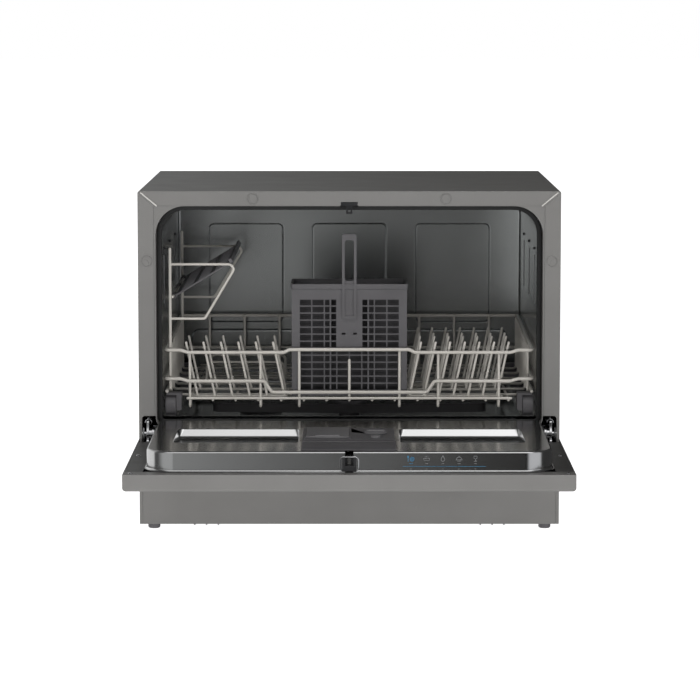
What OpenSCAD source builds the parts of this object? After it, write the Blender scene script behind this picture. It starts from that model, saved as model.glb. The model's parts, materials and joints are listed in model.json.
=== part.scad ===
// Countertop dishwasher for six place settings, with its door lowered and its rack pushed in.
// x runs to the right, y to the back and z up, and the floor is z = 0.
// Depths inside the modules are counted from the front plane of the cabinet.

/* [Cabinet] */
// Width over the casing
body_w = 550; // [530:1:580]
// Height from the floor to the top
body_h = 444; // [430:1:470]
// Depth of the cabinet without its door
body_d = 475; // [470:1:500]
// Thickness of the painted sheet
sheet = 1.2; // [1:0.1:1.5]
// Clear height under the cabinet
foot_clear = 7; // [5:0.5:12]
// Radius of a foot
foot_r = 8; // [7:0.5:10]
// Width of the rail beside the opening
side_rail = 23; // [22:0.5:26]
// Height of the rail over the opening
top_rail = 19.5; // [18:0.5:24]
// Radius of the opening's upper corners
opening_r = 38; // [30:1:45]
// Width of the casing's own front flange
flange_w = 20.5; // [18:0.5:21]
// Radius of the casing's upper edges
casing_r = 2.5; // [2:0.5:5]

/* [Door] */
// Height of the hinge axis
hinge_z = 126; // [122:1:132]
// Depth of the hinge axis behind the front plane
hinge_in = 4; // [3.5:0.5:5]
// Radius of a hinge pin
pin_r = 4; // [3:0.5:4.5]
// Thickness of the outer door
door_t = 21; // [19:1:24]
// Gap between the closed door and the cabinet
door_gap = 2; // [1.8:0.1:3]
// Gap between the open door and the plinth
door_edge = 3; // [2.5:0.5:5]
// Step from the casing's top down to the closed door's top
door_top_gap = 2; // [1:0.5:4]
// Radius round the outer face of the door
door_r = 5; // [3:0.5:7]
// Height of the liner over the inner face of the door
pan_h = 25.6; // [22:0.2:27]
// Gap between the liner and the sides of the opening
pan_gap = 3.5; // [3:0.1:5]
// Thickness of the stainless sheet
steel = 1; // [0.8:0.1:1.2]
// Depth of the pressed recesses in the liner
recess_h = 10; // [6:1:14]
// Space between a recess and the side of the liner
recess_side = 29.5; // [20:0.5:60]
// Length of each pressed recess, front to back
recess_l = 126; // [90:1:150]

/* [Tub] */
// Room behind the tub for the valve and the hoses
rear_room = 47; // [40:1:55]
// Height of the tub's floor
floor_z = 113; // [110:1:116]
// Width of the ledges that the rollers run on
ledge_w = 17; // [15:0.5:20]
// Width of the door gasket
gasket_w = 6.5; // [5:0.5:8]
// Depth of the gasket
gasket_t = 4.4; // [3:0.2:6]
// Width of a pressed panel in the back wall
emboss_w = 108; // [90:1:120]
// Height of a pressed panel in the back wall
emboss_h = 144; // [120:1:150]
// Depth of the pressed panels
emboss_t = 2.6; // [1.5:0.1:4]

/* [Rack] */
// Gap between a roller and the side of the tub
rack_side_gap = 3; // [2:0.5:8]
// Gap between the rack's rear wire and the tub's back wall
rack_rear_gap = 17.8; // [12:0.2:30]
// Gap between the closed door's fittings and the rack
rack_gap = 3; // [2:0.5:8]
// Radius of the coated frame wires
rail_r = 2.3; // [2:0.1:2.6]
// Radius of the thinner wires
wire_r = 1.8; // [1.5:0.1:2]
// Height of the rack's floor wires over the ledges
floor_h = 20; // [20:0.5:24]
// Height of the top rail over the rack's floor
rail_h = 64; // [50:1:70]
// How much the sides rise to the back
rail_rise = 8; // [0:1:14]
// Radius of a roller
roller_r = 12.5; // [11:0.5:13]
// Width of a roller's tread
roller_w = 14; // [11:0.5:14.5]
// Height of a plate tine over the rack's floor
tine_h = 75; // [60:1:85]
// Lean of the plate tines
tine_lean = 12; // [6:1:16]
// Spacing of the left tines
left_pitch = 23; // [21:0.5:24]
// Spacing of the right tines
right_pitch = 19.3; // [17:0.5:20]

/* [Cup shelf] */
// Length of the cup shelf, front to back
cup_l = 300; // [260:2:310]
// Width of the cup shelf
cup_w = 93; // [80:1:100]
// Height of the loops' top wire over the rack's floor
cup_top = 178; // [160:1:180]
// Height of a loop from its top wire to its bottom wire
cup_loop_h = 72; // [60:1:80]

/* [Cutlery basket] */
// Width of the basket
basket_w = 152; // [140:1:156]
// Depth of the basket, front to back
basket_d = 78; // [60:1:80]
// Height of the basket
basket_h = 148; // [120:1:160]
// Thickness of the basket's walls
basket_t = 2; // [1.6:0.1:2.4]
// Height of the handle over the basket's rim
handle_h = 66; // [50:1:70]
// Width of the handle
handle_w = 19; // [16:1:22]
// Width of one hole in the basket's grid
grid_w = 15; // [12:0.5:16]
// Height of one hole in the basket's grid
grid_h = 7.8; // [6:0.2:9]
// Width of the bars between the holes
grid_bar = 1.5; // [1.2:0.1:2]

/* [Wash system] */
// Gap between the tip of the spray arm and the front of the tub
arm_gap = 8.7; // [5:0.1:20]
// Thickness of the spray arm
arm_t = 12; // [10:1:13]
// Radius of the post that carries the spray arm
post_r = 8; // [6:0.5:10]
// Radius of the sump
sump_r = 60; // [55:1:62]
// Radius of the filter cup
filter_r = 27; // [22:1:28]
// Radius of the circulation motor
motor_r = 32; // [28:1:34]
// Radius of the impeller
impeller_r = 26; // [20:1:28]

/* [Dispenser] */
// Width of the detergent cup
cup_in_w = 50; // [40:1:52]
// Length of the detergent cup, front to back
cup_in_l = 76; // [60:1:78]
// Depth of the detergent cup
cup_in_h = 28; // [20:1:30]
// Radius of the rinse aid cap
cap_r = 14; // [11:0.5:15]

/* [Controls and connections] */
// Radius of a push button
button_r = 7; // [5:0.5:8]
// Travel of a push button
button_travel = 1.5; // [1:0.1:2]
// Height of the strip with the controls
fascia_h = 52; // [48:1:58]
// Outer radius of the water inlet's thread
inlet_r = 13.2; // [12.5:0.1:14]
// Outer radius of the drain spigot
drain_r = 10.5; // [9:0.5:11]
// How far the water connections stand out at the back
rear_out = 18; // [15:1:22]

/* [Hidden] */
$fn = 48;
// Small overlap that makes sure a cut goes right through
cut = 1;
// Clearance of a loose fit, a seat and a running fit
loose = 0.3;
seat = 0.15;
running = 0.05;

paint = [0.47, 0.46, 0.45];
stainless = [0.62, 0.62, 0.63];
plastic = [0.22, 0.21, 0.22];
coated = [0.78, 0.76, 0.72];

// Heights and widths that follow from the sizes above
half_w = body_w / 2;
top_z = body_h - sheet;
open_hw = half_w - side_rail;
open_top = body_h - top_rail;
door_in_z = hinge_z - hinge_in - door_gap;
door_out_z = door_in_z - door_t;
reach = body_h - door_top_gap - hinge_z - hinge_in;
closed_low = hinge_z + hinge_in + door_edge;
front_y = (reach - body_d - rear_out) / 2;
rear_y = body_d - 2 * sheet - loose;
foot_x = [-(half_w - 18.2), half_w - 18.2];
foot_y = [14, body_d - 20];
tub_d = body_d - rear_room;

// The liner stands on the open door, and its face is the level that the rollers run on
pan_z = door_in_z + pan_h;
pan_hw = open_hw - pan_gap;
pan_rim = 3;
pan_top_gap = 2.5;
pan_front = hinge_in + hinge_z + pan_top_gap - open_top;
pan_rear = 9;
pan_face_y = hinge_in + pan_z - hinge_z;
recess_x = 63;
recess_y = -89;
recess_w = pan_hw - recess_side - recess_x;
open_low = hinge_z + hinge_in + pan_rear - pan_rim;
open_low_r = 10;
plinth_top = open_low - 8;

// The gasket lies against the tub's front flange, at the bottom of the opening's return
gasket_y = pan_face_y + loose;
flange_y = gasket_y + gasket_t;

// Hinge slots in the front rails
slot_in = open_hw - 1.5;
slot_out = half_w - 4;
slot_low = hinge_z - 19;
slot_top = hinge_z + 24;
slot_r = 4;
cheek = 2;
cheek_in = slot_in + 0.7;
cheek_out = slot_out - 1;
arm_in = cheek_in + cheek + 1.8;
arm_plate = 3;
hook_in = arm_in + arm_plate + 4;
hub_r = 8.5;
tail_h = 14;
hook_r = 4.2;

// Tub: the ledges lie level with the open liner
tub_hw = open_hw - gasket_w + 0.5;
channel_hw = tub_hw - ledge_w;
ledge_z = pan_z;
tub_top = open_top - gasket_w;
rib_y = [70, 200, 326];
rib_top = tub_top - 54;
rib_low = rib_top - 74;

// Rack: heights are counted from the ledges
rack_y = pan_face_y + 7 + rack_gap + rail_r;
rack_hw = tub_hw - rack_side_gap;
rack_d = tub_d - rack_y - rail_r - rack_rear_gap;
wire_z = ledge_z + floor_h;
cross_z = wire_z + 2 * wire_r - 0.4;
rail_z = wire_z + rail_h;
mid_z = wire_z + 26;
skirt_z = cross_z + 8.4;
side_x = rack_hw - rail_r;
roller_z = ledge_z + seat + roller_r;
roller_x = rack_hw - roller_w / 2;
axle_r = 3;
roller_front_y = 19;
roller_rear_y = rack_d - 22;
leg_z = wire_z - 8;
left_rows = [17, 92];
right_rows = [17, 87, 127, 197];
arch_rows = [150, 236];
left_x = 85.5;
right_x = 79.5;
corner_l = 14;
rail_step = [side_x - 28.7, side_x - 18.7];
bar_hw = side_x - 27.7;
floor_hw = side_x - 30.7;
rear_hw = side_x - 40.7;
upright_x = [-floor_hw, -117, -66, 66, 117, floor_hw - 13];
upright_y = rail_r + wire_r - 0.4;
floor_bar_y = upright_y - 2 * wire_r + 0.4;
cross_y = [for (i = [0 : 5]) 40 + i * (rack_d - 78) / 5];
side_y = concat(cross_y, [for (i = [0 : 4]) (cross_y[i] + cross_y[i + 1]) / 2]);
basket_hw = basket_w / 2;

// Cup shelf: its wires stand inside the side grille
stem_r = wire_r + 0.2;
tine_r = wire_r - 0.1;
post_x = -(side_x - rail_r - stem_r - seat);
cup_y = [16, 16 + cup_l];
cup_z = wire_z + cup_top;
pivot_x = post_x + stem_r + wire_r - 0.4;
pivot_z = cup_z - 43;
cup_drop = cup_z - pivot_z;
corner_d = cup_w - 5;
corner_x = pivot_x + sqrt(corner_d * corner_d - cup_drop * cup_drop);
cup_t = 2.4;
cup_lift = asin((wire_r + loose + cup_t / 2) / corner_d);
cup_tilt = asin(cup_drop / corner_d) + cup_lift;
lug_from = corner_d * cos(cup_lift) + 2 * loose;
clip_y = [cup_y[0] + 24, (cup_y[0] + cup_y[1]) / 2, cup_y[1] - 24];

// Cutlery basket: it stands on the rack's floor behind the front rail
basket_y = rail_r + wire_r * 2 + 6;
basket_z = cross_z + wire_r + seat;
basket_lift = 25;
handle_top = basket_h + min(handle_h, tub_top - basket_z - basket_h - basket_lift - 8);
handle_low = basket_h - 46;
handle_front = -2.5;
plate_low = basket_h - 77;

// Wash system under the tub's floor
arm_y = (flange_y + tub_d) / 2 - 3.15;
arm_r = arm_y - flange_y - arm_gap;
tray_z = foot_clear + 2;
tray_top = foot_clear + 17;
sump_low = 66;
well_y = arm_y - 72;
well_r = 33;
well_low = 50;
filter_z = floor_z + seat;
filter_t = 1.4;
arm_z = floor_z + 14;
pump_z = 62;
pump_x = -88;
volute_r = impeller_r + 8;
volute_w = 24;
drain_x = 48;
drain_z = 55;
drain_hose_r = 9;
drain_line_x = drain_x + 9;
salt_x = -125;
salt_y = tub_d - 93;
salt_r = 25;
spring_end = 160;
spring_wire = 0.9;
spring_start = hinge_in + hook_r + loose + spring_wire;
chamber_low = 172;
chamber_h = 210;
inlet_x = 130;
inlet_y = rear_y - 32.3;
gland_x = -150;

// Dispenser in the middle of the liner
disp_x = [-58, 57];
disp_y = [-196, -100];
disp_t = 2;
cup_in_x = [disp_x[0] + 6, disp_x[0] + 6 + cup_in_w];
cup_in_y = [disp_y[0] + 10, disp_y[0] + 10 + cup_in_l];
cap_x = 33;
cap_y = -146;
catch_y = -183;
catch_r = 6;
lid_x = [cup_in_x[0] - 2, cup_in_x[1] + 2];

// Latch in the middle of the liner's front wall, and the tongue that it takes when the door is shut
latch_hw = 8.5;
latch_low = door_in_z + 1.4;
latch_high = door_in_z + 19;
latch_front = hinge_in + hinge_z + loose - open_top;
tongue_hw = 4;
tongue_t = 6;
tongue_y = [hinge_in + 4, hinge_in + 4 + tongue_t];
tongue_low = open_top - 10.5;
slot_hw = tongue_hw + 1.2;
slot_back = hinge_in + hinge_z - tongue_low + 2;
claw_y = slot_back + 6.5;
claw_z = hinge_z + 7;
tongue_z0 = hinge_z + tongue_y[0] - hinge_in;

// Fascia in the outer face of the door
fascia_x = [-235, 235];
fascia_y = [10 - reach, 10 + fascia_h - reach];
grip_x = [-70, 70];
grip_y = [fascia_y[0] + 6, fascia_y[0] + 36];
grip_h = 15;
button_x = [120, 150, 200];
button_y = (fascia_y[0] + fascia_y[1]) / 2;

// Helpers
module from_front() {
    translate([0, front_y, 0]) children();
}

module in_rack() {
    translate([0, front_y + rack_y, 0]) children();
}

module both_sides() {
    children();
    mirror([1, 0, 0]) children();
}

// A block between two opposite corners
module block(low, high) {
    translate(low) cube(high - low);
}

// A cylinder from one point to another
module rod(a, b, r) {
    v = b - a;
    translate(a) rotate([0, acos(v.z / norm(v)), atan2(v.y, v.x)]) cylinder(h = norm(v), r = r);
}

// A bent wire. A right angle between the axes is a quarter of a ring, and any other bend is short
// rods that follow the arc, with a ball that closes each joint.
module wire(points, r, bend = 4) {
    last = len(points) - 1;
    run = [for (i = [0 : last - 1]) (points[i + 1] - points[i]) / norm(points[i + 1] - points[i])];
    turn = [0, for (i = [1 : last - 1]) acos(run[i - 1] * run[i]), 0];
    square_bend = [for (i = [0 : last])
        i > 0 && i < last && abs(turn[i] - 90) < 0.001 && on_axis(run[i - 1]) && on_axis(run[i])];
    path = [for (i = [0 : last])
        let (before = i == 0 ? run[0] : run[i - 1], after = i == last ? run[last - 1] : run[i],
             x = bend_axis(before, after), c = points[i] - before * bend * tan(turn[i] / 2) - x * bend,
             n = ceil(turn[i] / 30), far = bend / cos(turn[i] / max(n, 1) / 2))
        n == 0 ? [points[i]]
        : square_bend[i] ? [c + x * bend, c + before * bend]
        : [for (k = [0 : n - 1]) c + far * (x * cos(turn[i] * (k + 0.5) / n) + before * sin(turn[i] * (k + 0.5) / n))]];
    for (i = [0 : last]) {
        if (square_bend[i]) {
            x = bend_axis(run[i - 1], run[i]);
            y = run[i - 1];
            z = cross(x, y);
            c = points[i] - (x + y) * bend;
            multmatrix([[x.x, y.x, z.x, c.x], [x.y, y.y, z.y, c.y], [x.z, y.z, z.z, c.z], [0, 0, 0, 1]])
                rotate_extrude(angle = 90) translate([bend, 0]) circle(r);
        } else {
            if (len(path[i]) > 1) for (k = [1 : len(path[i]) - 1]) rod(path[i][k - 1], path[i][k], r);
            if (i > 0 && i < last) for (p = path[i]) translate(p) sphere(r = r * 1.06);
        }
        if (i > 0) rod(path[i - 1][len(path[i - 1]) - 1], path[i][0], r);
    }
}

// Unit vector from the centre of a bend to its start
function bend_axis(before, after) =
    let (inward = after - (after * before) * before)
    norm(inward) == 0 ? [0, 0, 0] : -inward / norm(inward);

// Whether a unit vector lies along an axis
function on_axis(v) = max(abs(v.x), abs(v.y), abs(v.z)) > 0.9999;

// Extrudes an outline in x and z from depth y0 to depth y1
module along_y(y0, y1) {
    translate([0, y1, 0]) rotate([90, 0, 0]) linear_extrude(y1 - y0) children();
}

// Extrudes an outline in y and z from x0 to x1
module along_x(x0, x1) {
    translate([x0, 0, 0]) rotate([90, 0, 90]) linear_extrude(x1 - x0) children();
}

// A rectangle with round corners
module rounded(x0, y0, x1, y1, r) {
    translate([x0 + r, y0]) square([x1 - x0 - 2 * r, y1 - y0]);
    translate([x0, y0 + r]) square([x1 - x0, y1 - y0 - 2 * r]);
    for (x = [x0 + r, x1 - r], y = [y0 + r, y1 - r]) translate([x, y]) circle(r);
}

// The door opening, grown or shrunk on all sides
module opening(grow) {
    x = open_hw + grow;
    high = open_top + grow;
    low = open_low - grow;
    rt = opening_r + grow;
    rb = open_low_r + grow;
    translate([-x, low + rb]) square([2 * x, high - low - rt - rb]);
    translate([-x + rt, high - rt]) square([2 * (x - rt), rt]);
    translate([-x + rb, low]) square([2 * (x - rb), rb]);
    for (s = [-1, 1]) {
        translate([s * (x - rt), high - rt]) circle(rt);
        translate([s * (x - rb), low + rb]) circle(rb);
    }
}

// The liner's outline seen from above, grown or shrunk on all sides
module pan_outline(grow) {
    x = pan_hw + grow;
    front = pan_front - grow;
    rear = -pan_rear + grow;
    rf = opening_r - 3.5 + grow;
    rr = 9 + grow;
    translate([-x, front + rf]) square([2 * x, rear - rr - front - rf]);
    translate([-x + rf, front]) square([2 * (x - rf), rf]);
    translate([-x + rr, rear - rr]) square([2 * (x - rr), rr]);
    for (s = [-1, 1]) {
        translate([s * (x - rf), front + rf]) circle(rf);
        translate([s * (x - rr), rear - rr]) circle(rr);
    }
}

// Cabinet

// Cuts a slot for each hinge arm through the front rails
module hinge_slots() {
    both_sides() along_y(-cut, 4 * sheet) rounded(slot_in, slot_low, slot_out, slot_top, slot_r);
}

// Painted sheet wrapped over the top and both sides, with a mitred flange at the front
module casing() color(paint) from_front() {
    rib_r = 1;
    rib_y = 0.15;
    difference() {
        along_y(0, body_d) {
            translate([-half_w, foot_clear]) square([body_w, body_h - foot_clear - casing_r]);
            translate([casing_r - half_w, body_h - casing_r]) square([body_w - 2 * casing_r, casing_r]);
            for (s = [-1, 1]) translate([s * (half_w - casing_r), body_h - casing_r]) circle(casing_r);
        }
        block([sheet - half_w, sheet, 0], [half_w - sheet, body_d + cut, top_z]);
        block([flange_w - half_w, -cut, 0], [half_w - flange_w, body_d, body_h - flange_w + 2]);
        both_sides() block([0, -cut, 0], [slot_out, 4 * sheet, slot_low + slot_r]);
        block([-11, -cut, 0], [11, 4 * sheet, open_top + 5.5]);
        hinge_slots();
    }
    // Folded seams across the mitred corners
    both_sides() rod([half_w - 3.5, rib_y, body_h - 3], [half_w - flange_w + 2.5, rib_y, open_top + 3], rib_r);
    // Round spots where the flange is joined to the frame behind
    for (x = [-125, 125]) rod([x, -loose, body_h - 9], [x, sheet / 2, body_h - 9], 5);
    both_sides() rod([half_w - 9, -loose, 350], [half_w - 9, sheet / 2, 350], 5);
}

// Painted frame behind the flange, with the rounded opening and its return wall
module front_frame() color(paint) from_front() {
    edge = half_w - sheet - loose;
    difference() {
        union() {
            block([-edge, sheet, plinth_top + loose], [edge, 2 * sheet, top_z - loose]);
            along_y(sheet, flange_y) opening(sheet);
        }
        along_y(0, flange_y + cut) opening(0);
        hinge_slots();
        block([-12, 0, open_top - cut], [12, flange_y - 2, open_top + 6]);
    }
}

// Sheet that closes the back, pressed with ribs and pierced for the connections
module back_panel() color(paint) from_front() {
    edge = half_w - sheet - loose;
    rib = 1;
    difference() {
        union() {
            block([-edge, rear_y, foot_clear], [edge, rear_y + sheet, top_z - loose]);
            for (z = [190, 260, 330])
                along_y(rear_y, rear_y + sheet + rib) rounded(-200, z, 200, z + 40, 8);
        }
        for (z = [190, 260, 330])
            along_y(rear_y - cut, rear_y + rib) rounded(-200 + sheet, z + sheet, 200 - sheet, z + 40 - sheet, 7);
        rod([drain_line_x, rear_y - cut, drain_z], [drain_line_x, rear_y + 5, drain_z], drain_r + 1);
        rod([inlet_x, rear_y - cut, drain_z], [inlet_x, rear_y + 5, drain_z], inlet_r + 1);
        rod([gland_x, rear_y - cut, drain_z], [gland_x, rear_y + 5, drain_z], 9 + loose);
        for (i = [0 : 7])
            along_y(rear_y - cut, rear_y + 5) rounded(-90 + i * 14, 30, -84 + i * 14, 80, 2.5);
    }
}

// Plastic tray under the whole cabinet
module base_tray() color(plastic) from_front() {
    edge = half_w - sheet - loose;
    y0 = sheet + loose;
    y1 = rear_y - loose;
    difference() {
        block([-edge, y0, foot_clear], [edge, y1, tray_top]);
        block([2 - edge, y0 + 2, tray_z], [edge - 2, y1 - 2, tray_top + cut]);
        for (x = foot_x, y = foot_y) rod([x, y, 0], [x, y, 30], 4 + running);
    }
    // Short ribs under the front edge
    both_sides() for (x = [172, 187.5, 203])
        block([x - 1, y0, foot_clear - 1.5], [x + 1, y0 + 30, foot_clear + 0.5]);
    // Bosses that the feet screw into
    for (x = foot_x, y = foot_y) difference() {
        rod([x, y, tray_z - 0.5], [x, y, 22], 7);
        rod([x, y, 0], [x, y, 30], 4 + running);
    }
}

// Lower front panel, notched at its upper corners for the hinges
module plinth() color(paint) from_front() {
    edge = slot_out - loose;
    lip = 12;
    difference() {
        union() {
            block([-edge, 0, foot_clear], [edge, sheet, plinth_top]);
            block([-slot_in + loose, 0, plinth_top - sheet], [slot_in - loose, lip, plinth_top]);
        }
        hinge_slots();
    }
}

// Four feet that screw into the tray
module levelling_feet() color(plastic) from_front() {
    for (x = foot_x, y = foot_y) translate([x, y, 0]) {
        rotate_extrude() polygon([[0, 0], [foot_r - 1.5, 0], [foot_r, 1.5], [foot_r, foot_clear - loose],
                                  [0, foot_clear - loose]]);
        cylinder(h = 20, r = 4);
    }
}

// Pan-head screws that hold the back panel
module casing_screws() color(stainless) from_front() {
    for (x = [35 - half_w, -80, 80, half_w - 35], z = [top_z - 12, 15]) translate([x, rear_y + sheet, z])
        rotate([-90, 0, 0]) rotate_extrude() polygon([[0, 0], [4, 0], [3.4, 1.4], [2.2, 2], [0, 2]]);
}

// Tub, door seal and latch tongue

// The hollow of the tub above the ledges
module tub_room(grow) {
    along_y(flange_y, tub_d + grow) intersection() {
        opening(0.5 - gasket_w + grow);
        translate([-half_w, ledge_z - grow]) square([body_w, body_h]);
    }
}

// Stainless tub with pressed panels, rail ledges and a floor with a well for the sump
module tub() color(stainless) from_front() {
    y0 = flange_y + steel;
    difference() {
        union() {
            along_y(flange_y, y0) opening(5);
            tub_room(steel);
            block([-channel_hw - steel, flange_y, floor_z - steel],
                  [channel_hw + steel, tub_d - 4 + steel, ledge_z]);
            for (x = [-148, 0, 148]) along_y(tub_d, tub_d + emboss_t + steel)
                rounded(x - emboss_w / 2 - steel, tub_top - 46 - emboss_h - steel,
                        x + emboss_w / 2 + steel, tub_top - 46 + steel, 9);
        }
        difference() {
            tub_room(0);
            // Pressed ribs on both side walls
            both_sides() for (y = rib_y) {
                rod([tub_hw + 1, y, rib_low], [tub_hw + 1, y, rib_top - 5], 3);
            }
            block([-half_w, tub_d - 4, 0], [half_w, tub_d + cut, tub_top - 46 - emboss_h - 9]);
        }
        block([-channel_hw, y0, floor_z], [channel_hw, tub_d - 4, ledge_z + cut]);
        along_y(flange_y - cut, y0 + cut) opening(0.5 - gasket_w);
        for (x = [-148, 0, 148]) along_y(tub_d - cut, tub_d + emboss_t)
            rounded(x - emboss_w / 2, tub_top - 46 - emboss_h, x + emboss_w / 2, tub_top - 46, 8);
        both_sides() for (y = rib_y) rod([tub_hw - 3, y, rib_top], [tub_hw + 5, y, rib_top], 2);
        translate([0, arm_y, 0]) cylinder(h = floor_z + cut, r = sump_r - 4);
        translate([0, well_y, 0]) cylinder(h = floor_z + cut, r = well_r - 2);
        translate([salt_x, salt_y, 0]) cylinder(h = floor_z + cut, r = salt_r + 4);
    }
    // Lugs for the door springs
    both_sides() difference() {
        block([tub_hw + steel / 2, spring_end, hinge_z + tail_h - 6],
              [hook_in + 6, spring_end + 2, hinge_z + tail_h + 6]);
        rod([hook_in + 1.5, spring_end - 1, hinge_z + tail_h],
            [hook_in + 1.5, spring_end + 3, hinge_z + tail_h], 1.2);
    }
}

// Rubber seal that the closed door's liner presses on
module tub_gasket() color([0.08, 0.08, 0.08]) from_front() {
    lip = 1.6;
    difference() {
        along_y(gasket_y + 0.6, flange_y) opening(-loose);
        along_y(gasket_y, flange_y + cut) opening(0.5 - gasket_w);
    }
    difference() {
        along_y(gasket_y, flange_y) opening(0.5 - gasket_w + lip);
        along_y(gasket_y - cut, flange_y + cut) opening(0.5 - gasket_w);
    }
}

// Tongue over the opening that the latch grips
module latch_striker() color([0.08, 0.08, 0.08]) from_front() {
    difference() {
        union() {
            block([-10.6, loose, open_top + 0.6], [10.6, flange_y - 3, open_top + 5]);
            block([-16, 2 * sheet + seat, open_top + 5.5], [16, 2 * sheet + 2.2, open_top + 15]);
            block([-9, 2 * sheet + seat, open_top + 1], [9, 2 * sheet + 2.2, open_top + 10]);
            block([-tongue_hw, tongue_y[0], tongue_low], [tongue_hw, tongue_y[1], open_top + 2]);
        }
        block([-1.8, tongue_y[0] - cut, tongue_low + 2.5], [1.8, tongue_y[1] + cut, tongue_low + 7]);
    }
}

// Hinges

// Steel channel that carries one hinge, on the right; the left one is its mirror image
module hinge_bracket() {
    low = tray_top + loose;
    high = open_low - 1.8;
    back = 26;
    difference() {
        block([cheek_in, sheet + 1.6, low], [cheek_out, back, high]);
        block([cheek_in + cheek, 0, low - cut], [cheek_out - cheek, back - cheek, high + cut]);
        block([hook_in - 4, 0, hinge_z - 12], [hook_in + 7, back + cut, high + cut]);
        hinge_pin_hole();
    }
    // Ears that reach forward into the slot, round the pin
    for (x = [cheek_in, cheek_out - cheek]) difference() {
        block([x, -1, slot_low + slot_r], [x + cheek, sheet + 2, high]);
        hinge_pin_hole();
    }
}

module hinge_pin_hole() {
    rod([cheek_in - cut, hinge_in, hinge_z], [cheek_out + cut, hinge_in, hinge_z], pin_r + 0.02);
}

module hinge_bracket_right() color(stainless) from_front() hinge_bracket();
module hinge_bracket_left() color(stainless) from_front() mirror([1, 0, 0]) hinge_bracket();

// Two pins fixed in the brackets
module hinge_pins() color(stainless) from_front() {
    both_sides() rod([cheek_in - 0.3, hinge_in, hinge_z], [cheek_out + 0.7, hinge_in, hinge_z], pin_r);
}

// Arm on the right: an inner plate that carries the door, and a hook that the spring pulls
module door_arm() {
    leg_low = door_out_z + sheet + 0.3;
    leg_high = door_in_z - 0.7;
    leg_end = 82 - reach;
    out = hook_in + arm_plate;
    difference() {
        union() {
            along_x(arm_in, arm_in + arm_plate) {
                translate([hinge_in, hinge_z]) circle(hub_r);
                polygon([[hinge_in, hinge_z - hub_r], [-5, leg_low + 6], [-9, leg_low], [leg_end, leg_low],
                         [leg_end, leg_low + 8], [-60, leg_high], [-7, leg_high], [hinge_in, hinge_z + hub_r]]);
            }
            // Foot of the arm, screwed to the door's inner face
            block([arm_in, leg_end, leg_low], [arm_in + 13, -16, leg_low + 2]);
            rod([arm_in, hinge_in, hinge_z], [out, hinge_in, hinge_z], 7);
            along_x(hook_in, out) {
                translate([hinge_in, hinge_z]) circle(hub_r);
                translate([hinge_in, hinge_z + tail_h]) circle(hook_r);
                polygon([[hinge_in - 6, hinge_z + 6], [hinge_in - 4, hinge_z + tail_h],
                         [hinge_in + 4, hinge_z + tail_h], [hinge_in + 6, hinge_z + 6]]);
                // The curled end below the pin
                translate([hinge_in - 5, hinge_z - 10]) circle(hook_r);
            }
        }
        rod([arm_in - cut, hinge_in, hinge_z], [out + cut, hinge_in, hinge_z], pin_r + running);
        rod([hook_in - cut, hinge_in, hinge_z + tail_h], [out + cut, hinge_in, hinge_z + tail_h], 1.6);
    }
}

module door_arm_right() color(stainless) from_front() door_arm();
module door_arm_left() color(stainless) from_front() mirror([1, 0, 0]) door_arm();

// Points round a tube that follows a helix along y, with its ends squared off
function coil_centre(t, r, y0, pitch) = [r * cos(360 * t), y0 + pitch * t, r * sin(360 * t)];
function coil_ring(t, r, y0, pitch, wire, sides) =
    let (c = coil_centre(t, r, y0, pitch),
         out = [cos(360 * t), 0, sin(360 * t)])
    [for (k = [0 : sides - 1])
        c + wire * cos(360 * k / sides) * out + wire * sin(360 * k / sides) * [0, 1, 0]];

// One unbroken wire wound as a tension spring
module coil(r, y0, pitch, turns, wire, steps, sides) {
    n = turns * steps;
    rings = [for (i = [0 : n]) coil_ring(i / steps, r, y0, pitch, wire, sides)];
    points = [for (ring = rings) for (p = ring) p];
    sides_faces = [for (i = [0 : n - 1]) for (k = [0 : sides - 1])
        let (a = i * sides + k, b = i * sides + (k + 1) % sides)
        each [[a, b, b + sides], [a, b + sides, a + sides]]];
    first = [for (k = [1 : sides - 2]) [0, k + 1, k]];
    last = [for (k = [1 : sides - 2]) [n * sides, n * sides + k, n * sides + k + 1]];
    polyhedron(points, concat(sides_faces, first, last));
}

// Springs between the arms' hooks and the lugs on the tub
module balance_springs() color(stainless) from_front() {
    both_sides() translate([hook_in + 1.5, 0, hinge_z + tail_h])
        coil(4.2, spring_start, (spring_end - loose - spring_wire - spring_start) / 16, 16, spring_wire, 10, 6);
}

// Wash system

// Bowl under the tub's floor, with a deeper well for the filter and stubs for both pumps
module sump() color(plastic) from_front() {
    wall = 2.5;
    under = floor_z - steel;
    difference() {
        union() {
            translate([0, arm_y, sump_low]) cylinder(h = under - sump_low, r = sump_r);
            translate([0, well_y, well_low]) cylinder(h = under - well_low, r = well_r);
            translate([0, arm_y, under - 3]) cylinder(h = 3, r = sump_r + 8);
            rod([0, well_y, pump_z], [pump_x + volute_w / 2 + seat, well_y, pump_z], 10);
            rod([0, well_y, pump_z], [drain_x - seat, well_y, pump_z], 8);
        }
        translate([0, arm_y, sump_low + wall]) cylinder(h = under, r = sump_r - wall);
        translate([0, well_y, well_low + wall]) cylinder(h = under, r = well_r - wall);
        rod([0, well_y, pump_z], [pump_x, well_y, pump_z], 7.5);
        rod([0, well_y, pump_z], [drain_x + cut, well_y, pump_z], 5.5);
    }
    // Pillar that the spray arm's post stands on
    difference() {
        translate([0, arm_y, sump_low + 1]) cylinder(h = floor_z - sump_low - 4, r = post_r + 5);
        translate([0, arm_y, sump_low + wall]) cylinder(h = floor_z, r = post_r - 2);
    }
}

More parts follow.
